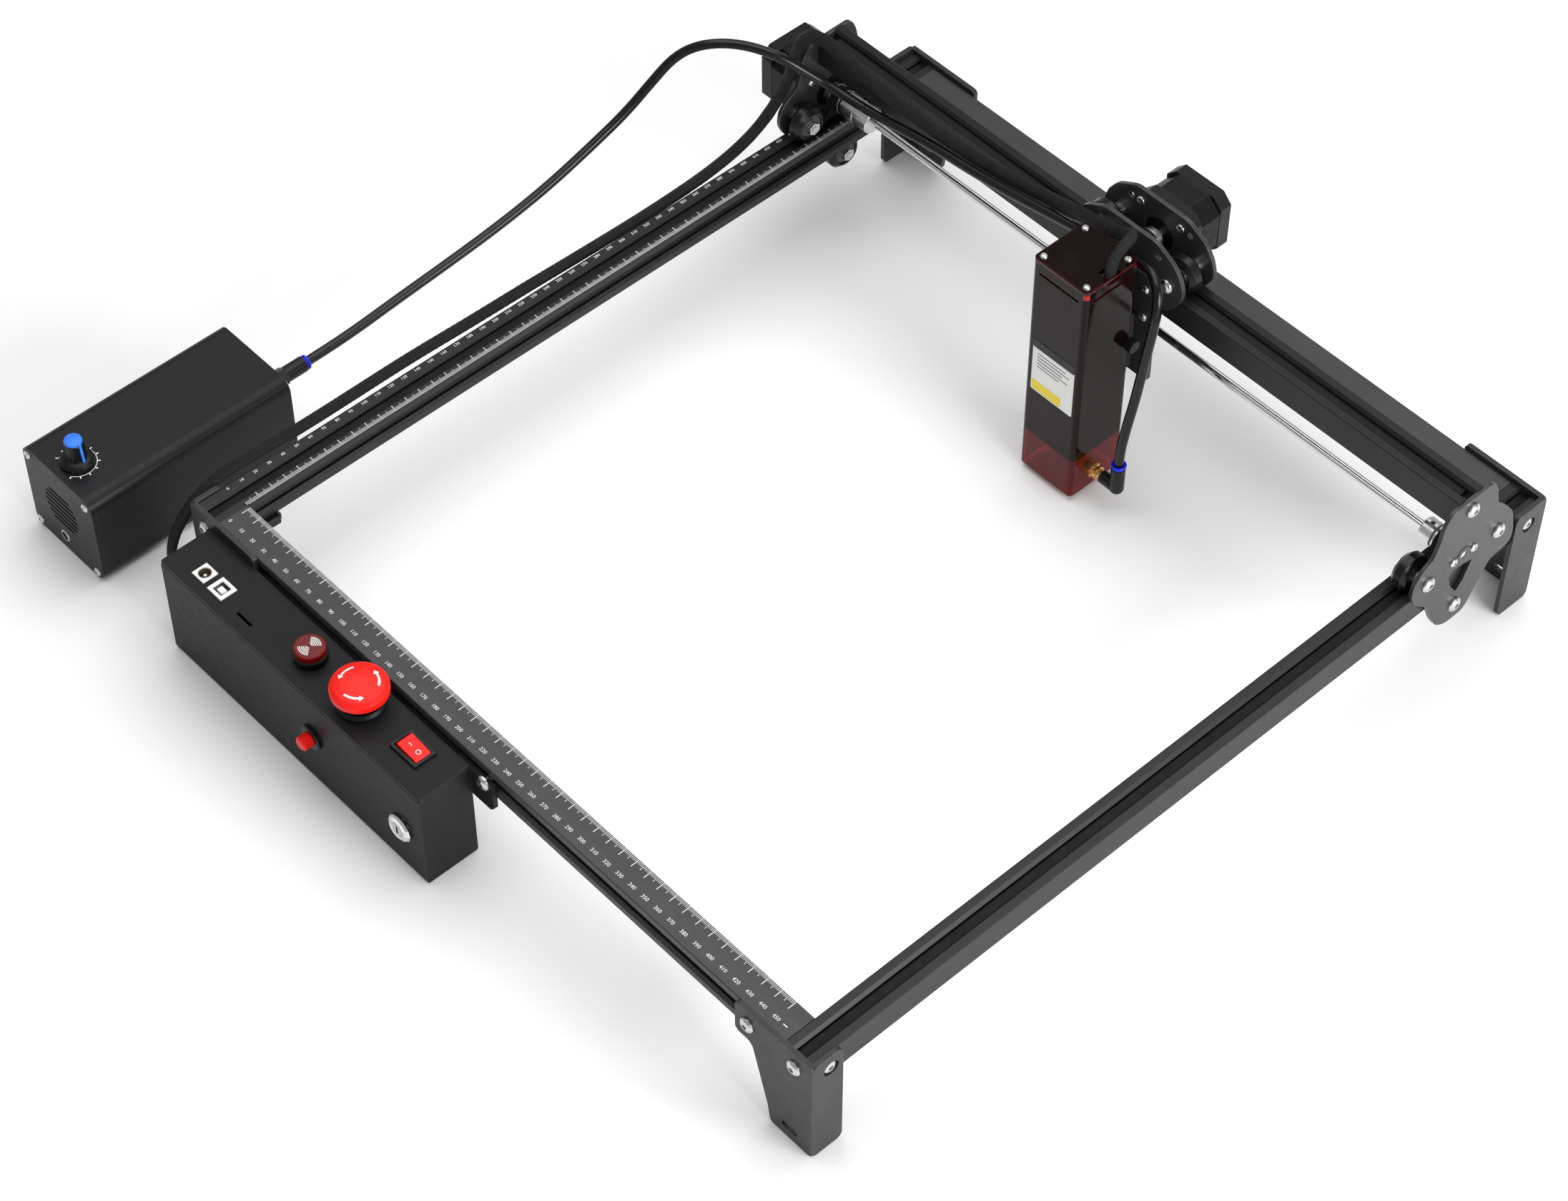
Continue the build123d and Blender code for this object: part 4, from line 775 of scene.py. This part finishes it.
def make_bearings():
    """Ball bearing faces in both hubs of every V-wheel."""
    for place_name in ("front", "rear", "lower"):
        bm = bmesh.new()
        for x in SIDE_RAILS:
            add_bearings(bm, "x", centre_of(place_name + "_wheels", "x"), x)
        make_piece(place_name + "_wheels_bearings", bm, place_name + "_wheel_pair", "bearing")
    for side in ("left", "right", "lower"):
        wheel = side + "_carriage_wheel"
        bm = bmesh.new()
        add_bearings(bm, "y", centre_of(wheel, "y"), centre_of(wheel, "z")[1])
        make_piece(side + "_wheel_bearings", bm, side + "_wheel", "bearing")


def cut_square(a, b, half, cut):
    """A square with its corners cut off, as (a, b) points."""
    inner = half - cut
    return [(a + half, b - inner), (a + half, b + inner), (a + inner, b + half),
            (a - inner, b + half), (a - half, b + inner), (a - half, b - inner),
            (a - inner, b - half), (a + inner, b - half)]


def make_motor_plates(node, axis, body, start, end):
    """The stack of core plates that shows between a motor's end caps."""
    outline = cut_square(*centre_of(node, axis), 20.98, 9.3)
    plate, pitch = 0.85, 1.35
    bm = bmesh.new()
    along = start
    while along < end - 0.9:
        add_prism(bm, axis, outline, along, along + plate)
        along += pitch
    make_piece(node + "_plates", bm, body, "laminations")


END_CAP = 8.7                   # length of a motor's outer end cap

make_bearings()
y_motor_end, x_motor_end = local_box("y_motor")[0].x, local_box("x_motor")[1].y
make_motor_plates("y_motor", "x", "gantry", y_motor_end + END_CAP, y_motor_end + 27.3)
make_motor_plates("x_motor", "y", "carriage", x_motor_end - 24.3, x_motor_end - END_CAP)


# ---- laser head ----
STICKER_X, STICKER_Z = (225.0, 258.0), (-10.0, 31.0)
STICKER, RAISED = 0.12, 0.16    # thickness of the label, and of what is printed on it


def raised(base, profile):
    """A lathe profile of (height above a base, radius) points, moved up to the base."""
    return [(base + height, radius) for height, radius in profile]


def make_cover_parts():
    """The cover's screws, and the red posts under them."""
    (x0, y0, _), (x1, y1, top) = local_box("head_cover")
    inset = 4.2
    screw = [(0.02, 0), (0.02, 2.3), (0.7, 2.2), (1.3, 1.7), (1.5, 0.95), (0.9, 0.8), (0.9, 0)]
    post = [(-7.5, 0), (-7.5, 2.5), (-2.1, 2.5), (-2.1, 0)]
    for name, profile, steps, look, slot in (
            ("head_cover_screws", screw, 28, "steel", "screw_steel"),
            ("head_corner_posts", post, 20, "lamp", "red_acrylic")):
        bm = bmesh.new()
        for x in (x0 + inset, x1 - inset):
            for y in (y0 + inset, y1 - inset):
                add_lathe(bm, "z", (x, y), raised(top, profile), steps)
        make_piece(name, bm, "laser_head", look)


def make_label():
    """A plain label on the cover's front: white, with a dark header, lines and a yellow band."""
    face = local_box("head_cover")[0].y - 0.02
    for name, look, slot, (a0, a1), (b0, b1), thick in (
            ("head_sticker", "sticker", "socket_white", STICKER_X, STICKER_Z, STICKER),
            ("sticker_header", "black_plastic", "panel_black", STICKER_X, (24.5, 31.0), RAISED),
            ("sticker_band", "yellow", "socket_white", (225.8, 249.0), (-9.2, -1.5), RAISED)):
        bm = bmesh.new()
        add_prism(bm, "y", rounded_outline(a0, a1, b0, b1, 1.2), face - thick, face)
        make_piece(name, bm, "laser_head", look)
    bm = bmesh.new()
    left, first_line, pitch = 229.0, 20.6, 2.6
    for i, width in enumerate((22, 25, 20, 24, 17)):
        z = first_line - i * pitch
        add_prism(bm, "y", rounded_outline(left, left + width, z, z + 0.7, 0.3), face - 0.17,
                  face - STICKER)
    make_piece("sticker_lines", bm, "laser_head", "core")


def make_lens():
    """The lens and its ring under the laser module."""
    centre = centre_of("head_cover", "z")
    low = local_box("laser_module")[0].z
    bm = bmesh.new()
    add_lathe(bm, "z", centre, raised(low, [(-0.9, 0), (-0.9, 2.4), (-0.5, 3.4), (-0.02, 3.9),
                                            (-0.02, 0)]))
    make_piece("lens", bm, "laser_head", "glass")
    bm = bmesh.new()
    add_lathe(bm, "z", centre, raised(low, [(-1.4, 4.1), (-1.4, 5.6), (-0.9, 6.2), (-0.02, 6.4),
                                            (-0.02, 4.1)]))
    make_piece("lens_ring", bm, "laser_head", "brass")


def make_cover_edges():
    """Painted glow along the cut edges of the cover's top sheet, with painted glints at its four
    corners.
    """
    (x0, y0, _), (x1, y1, top) = local_box("head_cover")
    skin, corner = 0.05, 3.0
    bm = bmesh.new()
    outer = rounded_outline(x0 - skin, x1 + skin, y0 - skin, y1 + skin, corner)
    inner = rounded_outline(x0 + skin, x1 - skin, y0 + skin, y1 - skin, corner)
    add_tube(bm, outer, inner, top - 2.0, top - 0.35)
    make_piece("cover_edge", bm, "laser_head", "painted_edge_glow")
    bm = bmesh.new()
    # painted glints: short bright red arcs at the four top corners
    for start, (x, y) in enumerate(((x1, y1), (x0, y1), (x0, y0), (x1, y0))):
        middle = (x - corner if x == x1 else x + corner, y - corner if y == y1 else y + corner)
        add_arc(bm, middle, corner + skin, 90 * start + 8, 90 * start + 82, 0.06, top - 5.5,
                top - 2.1)
    make_piece("cover_glints", bm, "laser_head", "glint")


COLLET = [(0.02, 3.15), (0.02, 3.9), (0.9, 3.9), (1.1, 4.5), (2.2, 4.7), (2.7, 4.4), (2.7, 3.35),
          (2.4, 3.15)]          # (distance from the fitting's face, radius)


def make_collets():
    """The blue release rings of the two push-in fittings, round the hose."""
    elbow = local_box("air_elbow")[1]
    bm = bmesh.new()
    add_lathe(bm, "z", (elbow.x - 4.4, centre_of("air_elbow", "z")[1]), raised(elbow.z, COLLET))
    make_piece("head_collet", bm, "laser_head", "blue_ring")
    bm = bmesh.new()
    outlet = local_box("pump_fitting")[1].y
    add_lathe(bm, "y", centre_of("pump_fitting", "y"), raised(outlet, COLLET))
    make_piece("pump_collet", bm, "frame", "blue_ring")


make_cover_parts()
make_cover_edges()
make_label()
make_lens()
make_collets()


# ---- control box ----
def make_lamp_marks():
    """The arcs printed on the lamp's cap, and the reflector inside it."""
    low, high = local_box("lamp_cap")
    centre = centre_of("lamp_cap", "z")
    bm = bmesh.new()
    for middle in (92.5, 272.5):
        for i in range(6):
            add_arc(bm, centre, 1.5 + 0.95 * i, middle - 42, middle + 42, 0.5, high.z + LIFT,
                    high.z + PRINT)
    make_piece("lamp_marks", bm, "frame", "print")
    bm = bmesh.new()
    add_lathe(bm, "z", centre, raised(low.z, [(-3.0, 0), (-3.0, 6.5), (-0.05, 6.5), (-0.05, 0)]))
    make_piece("lamp_reflector", bm, "frame", "black_plastic")


def dome_height(radius, base):
    """Height of the mushroom's top above its base at a distance from its axis."""
    profile = ((0.0, 7.8), (5.0, 7.7), (10.0, 7.3), (14.0, 6.4), (16.0, 5.2), (16.6, 4.0))
    for (r0, z0), (r1, z1) in zip(profile, profile[1:]):
        if radius <= r1:
            return base + z0 + (z1 - z0) * (radius - r0) / (r1 - r0)
    return base + profile[-1][1]


def make_stop_arrows():
    """Three turning arrows printed on the emergency stop's mushroom."""
    centre, base = centre_of("stop_button", "z"), local_box("stop_button")[0].z
    bm = bmesh.new()
    ring_r, tail_half, head_half, neck = 11.0, 0.65, 1.75, 0.78
    tail_steps, head_steps = 12, 6
    shares = [neck * i / tail_steps for i in range(tail_steps + 1)]
    shares += [neck + (1 - neck) * i / head_steps for i in range(head_steps + 1)]
    for middle in (65.5, 185.5, 305.5):
        rows = []
        for i, share in enumerate(shares):
            angle = math.radians(middle - 30 + 60 * share)
            half = tail_half
            if i > tail_steps:
                half = head_half * (1 - (share - neck) / (1 - neck)) + 0.04
            columns = []
            for step in (-1, -0.5, 0, 0.5, 1):
                radius = ring_r + step * half
                z = dome_height(radius, base)
                columns.append([bm.verts.new((centre[0] + radius * math.cos(angle),
                                              centre[1] + radius * math.sin(angle), z + lift))
                                for lift in (0.12, 0.01)])
            rows.append([pair[0] for pair in columns] + [pair[1] for pair in reversed(columns)])
        for first, second in zip(rows, rows[1:]):
            for a in range(len(first)):
                b = (a + 1) % len(first)
                bm.faces.new((first[a], first[b], second[b], second[a]))
        bm.faces.new(rows[0])
        bm.faces.new(rows[-1])
    make_piece("stop_arrows", bm, "stop_mushroom", "print")


ROCKER_AXIS, ROCKER_TOP = -9.0, 6.2     # height of the rocker's axis, and of its top above that
ROCKER_TILT = math.radians(7.0)         # at rest


def make_rocker_marks():
    """The bar and the ring on the power rocker, on its left half and its right half."""
    x, y = centre_of("rocker", "z")
    ring, thick = (3.3, 0.0), 0.08
    bm = bmesh.new()
    add_box(bm, -4.6, -2.0, -0.3, 0.3, 0.0, thick)
    add_tube(bm, arc_points(ring, 1.6, 0, 345, 23), arc_points(ring, 1.15, 0, 345, 23), 0.0, thick)
    for vert in bm.verts:
        across, height = vert.co.x, ROCKER_TOP + 0.01 + vert.co.z
        vert.co = (x + across * math.cos(ROCKER_TILT) + height * math.sin(ROCKER_TILT),
                   y + vert.co.y,
                   ROCKER_AXIS - across * math.sin(ROCKER_TILT) + height * math.cos(ROCKER_TILT))
    make_piece("rocker_marks", bm, "power_rocker", "print")


DATA_X, POWER_X, SOCKET_Y = 35.4, 19.9, -45.6
SOCKET_FLOOR, SHELL_TOP = -16.9, -5.2


def make_socket_cores():
    """The data port's tongue and metal shell, and the power inlet's metal shell."""
    x, y = DATA_X, SOCKET_Y
    bm = bmesh.new()
    add_box(bm, x - 2.6, x + 2.6, y - 1.9, y + 1.9, SOCKET_FLOOR, -6.2)
    make_piece("data_tongue", bm, "frame", "white_plastic", bevel=0.3)
    bm = bmesh.new()
    outer = rounded_outline(x - 4.15, x + 4.15, y - 3.85, y + 3.85, 0.8)
    inner = rounded_outline(x - 3.85, x + 3.85, y - 3.55, y + 3.55, 0.6)
    add_tube(bm, outer, inner, SOCKET_FLOOR, SHELL_TOP)
    make_piece("data_shell", bm, "frame", "steel")
    bm = bmesh.new()
    add_lathe(bm, "z", (POWER_X, SOCKET_Y), [(SOCKET_FLOOR, 3.5), (SOCKET_FLOOR, 3.95),
                                             (SHELL_TOP, 3.95), (SHELL_TOP, 3.5)], 40)
    make_piece("power_shell", bm, "frame", "shell")


def make_key_bezel():
    """The faceted chrome ring round the key lock."""
    profile = [(2.9, 8.3), (1.6, 9.1), (0.3, 8.3), (-0.7, 6.3), (-0.3, 5.0), (0.3, 4.5), (2.9, 4.5)]
    bm = bmesh.new()
    add_lathe(bm, "y", centre_of("key_lock", "y"), raised(local_box("key_lock")[0].y, profile), 12)
    make_piece("key_bezel", bm, "frame", "chrome", sharp=8.0)


make_lamp_marks()
make_stop_arrows()
make_key_bezel()
make_rocker_marks()
make_socket_cores()


# ---- air pump ----
def make_knob_pointer():
    """The blue line from the knob's cap down its side."""
    low, high = local_box("pump_knob")
    centre = centre_of("pump_knob", "z")
    aim, top, base = math.radians(6.0), high.z, low.z + 7.4
    along = Vector((math.cos(aim), math.sin(aim), 0))
    side = Vector((-math.sin(aim), math.cos(aim), 0))
    profile = [(4.4, top + 0.85), (5.5, top + 0.6), (6.1, top - 0.2), (7.6, base),
               (7.0, base - 0.4), (5.0, top - 1.0)]
    bm = bmesh.new()
    rows = []
    for half in (-0.75, 0.75):
        rows.append([bm.verts.new(Vector((*centre, 0)) + along * r + side * half
                                  + Vector((0, 0, z))) for r, z in profile])
    for i in range(len(profile)):
        j = (i + 1) % len(profile)
        bm.faces.new((rows[0][i], rows[0][j], rows[1][j], rows[1][i]))
    bm.faces.new(rows[0])
    bm.faces.new(rows[1])
    make_piece("knob_pointer", bm, "flow_knob", "blue_plastic")


def make_knob_trim():
    """The knob's blue cap and pointer, and the scale printed round it."""
    centre = centre_of("pump_knob", "z")
    bm = bmesh.new()
    add_lathe(bm, "z", centre, raised(local_box("pump_knob")[1].z, [
        (-1.2, 0), (-1.2, 5.3), (-0.1, 5.3), (0.5, 4.9), (0.8, 3.9), (0.8, 0)]))
    make_piece("knob_cap", bm, "flow_knob", "blue_plastic")
    make_knob_pointer()
    top = local_box("pump_case")[1].z
    bm = bmesh.new()
    scale_r, tick_r, first, last, ticks = 11.4, 13.2, -54, 214, 11
    add_arc(bm, centre, scale_r, first, last, 0.4, top + LIFT, top + PRINT)
    for i in range(ticks):
        angle = math.radians(first + 26.8 * i)
        start, end = ((centre[0] + r * math.cos(angle), centre[1] + r * math.sin(angle))
                      for r in (scale_r, tick_r))
        add_strip(bm, start, end, 0.8, top + LIFT, top + PRINT)
    make_piece("knob_scale", bm, "frame", "print")


def make_pump_jack():
    """The pump's power jack: its barrel, its pin and its floor."""
    jack, face = (-106.0, -69.0), local_box("pump_end_plates")[0].y
    barrel = [(-0.5, 2.9), (-0.5, 3.5), (-0.1, 3.9), (9, 3.9), (9, 2.9)]
    pin = [(1.5, 0), (1.5, 0.8), (9, 0.8), (9, 0)]
    back = [(8.8, 0), (8.8, 3.9), (9.4, 3.9), (9.4, 0)]
    bm = bmesh.new()
    for profile, steps in ((barrel, 48), (pin, 20), (back, 32)):
        add_lathe(bm, "y", jack, raised(face, profile), steps)
    make_piece("pump_jack", bm, "frame", "steel")


def make_end_stop():
    """The end stop switch with its lever, under the left rail beside the front rail."""
    bm = bmesh.new()
    add_box(bm, -12.5, 3.0, 9.0, 18.5, -26.5, -20.05)
    make_piece("end_stop", bm, "frame", "black_plastic", bevel=0.5)
    bm = bmesh.new()
    add_box(bm, -11.5, 2.0, 19.4, 19.8, -25.5, -21.0)
    add_box(bm, -11.5, -9.8, 18.4, 19.8, -25.5, -21.0)
    make_piece("end_stop_lever", bm, "frame", "steel")


make_knob_trim()
make_pump_jack()
make_end_stop()


# ---- floor and light ----
FLOOR_HALF, FLOOR_GAP = 6.0, 0.0005     # half the floor's width, and its depth below the feet


def make_floor():
    bm = bmesh.new()
    bmesh.ops.create_grid(bm, x_segments=2, y_segments=2, size=FLOOR_HALF)
    mesh = bpy.data.meshes.new("floor")
    bm.to_mesh(mesh)
    bm.free()
    n = Nodes("floor")
    tone = n.mix(n.ramp(n.noise(400.0, 2.0), 0.3, 0.7), (0.90, 0.90, 0.90), (0.93, 0.93, 0.93))
    n.link(tone, n.shader.inputs["Base Color"])
    n.shader.inputs["Roughness"].default_value = 0.75
    n.shader.inputs["Specular IOR Level"].default_value = 0.2
    mesh.materials.append(n.material)
    floor = bpy.data.objects.new("floor", mesh)
    floor.location.z = -FLOOR_GAP
    bpy.context.scene.collection.objects.link(floor)


def make_light(name, location, aim, size, power):
    data = bpy.data.lights.new(name, "AREA")
    data.shape, data.size, data.size_y, data.energy = "RECTANGLE", size[0], size[1], power
    light = bpy.data.objects.new(name, data)
    light.location = location
    light.rotation_mode = "QUATERNION"
    light.rotation_quaternion = (Vector(aim) - Vector(location)).to_track_quat("-Z", "Y")
    bpy.context.scene.collection.objects.link(light)


def make_world():
    world = bpy.data.worlds.new("studio")
    world.use_nodes = True
    background = world.node_tree.nodes["Background"]
    background.inputs["Color"].default_value = (1.0, 1.0, 1.0, 1.0)
    background.inputs["Strength"].default_value = 0.42
    bpy.context.scene.world = world
    bpy.context.scene.view_settings.view_transform = "Standard"


make_floor()
make_world()
make_light("overhead", (-0.3, 0.4, 2.2), (0.05, 0.0, 0.0), (2.6, 2.4), 44.0)
make_light("right", (2.3, 0.2, 0.9), (0.1, 0.0, 0.0), (1.6, 1.0), 58.0)
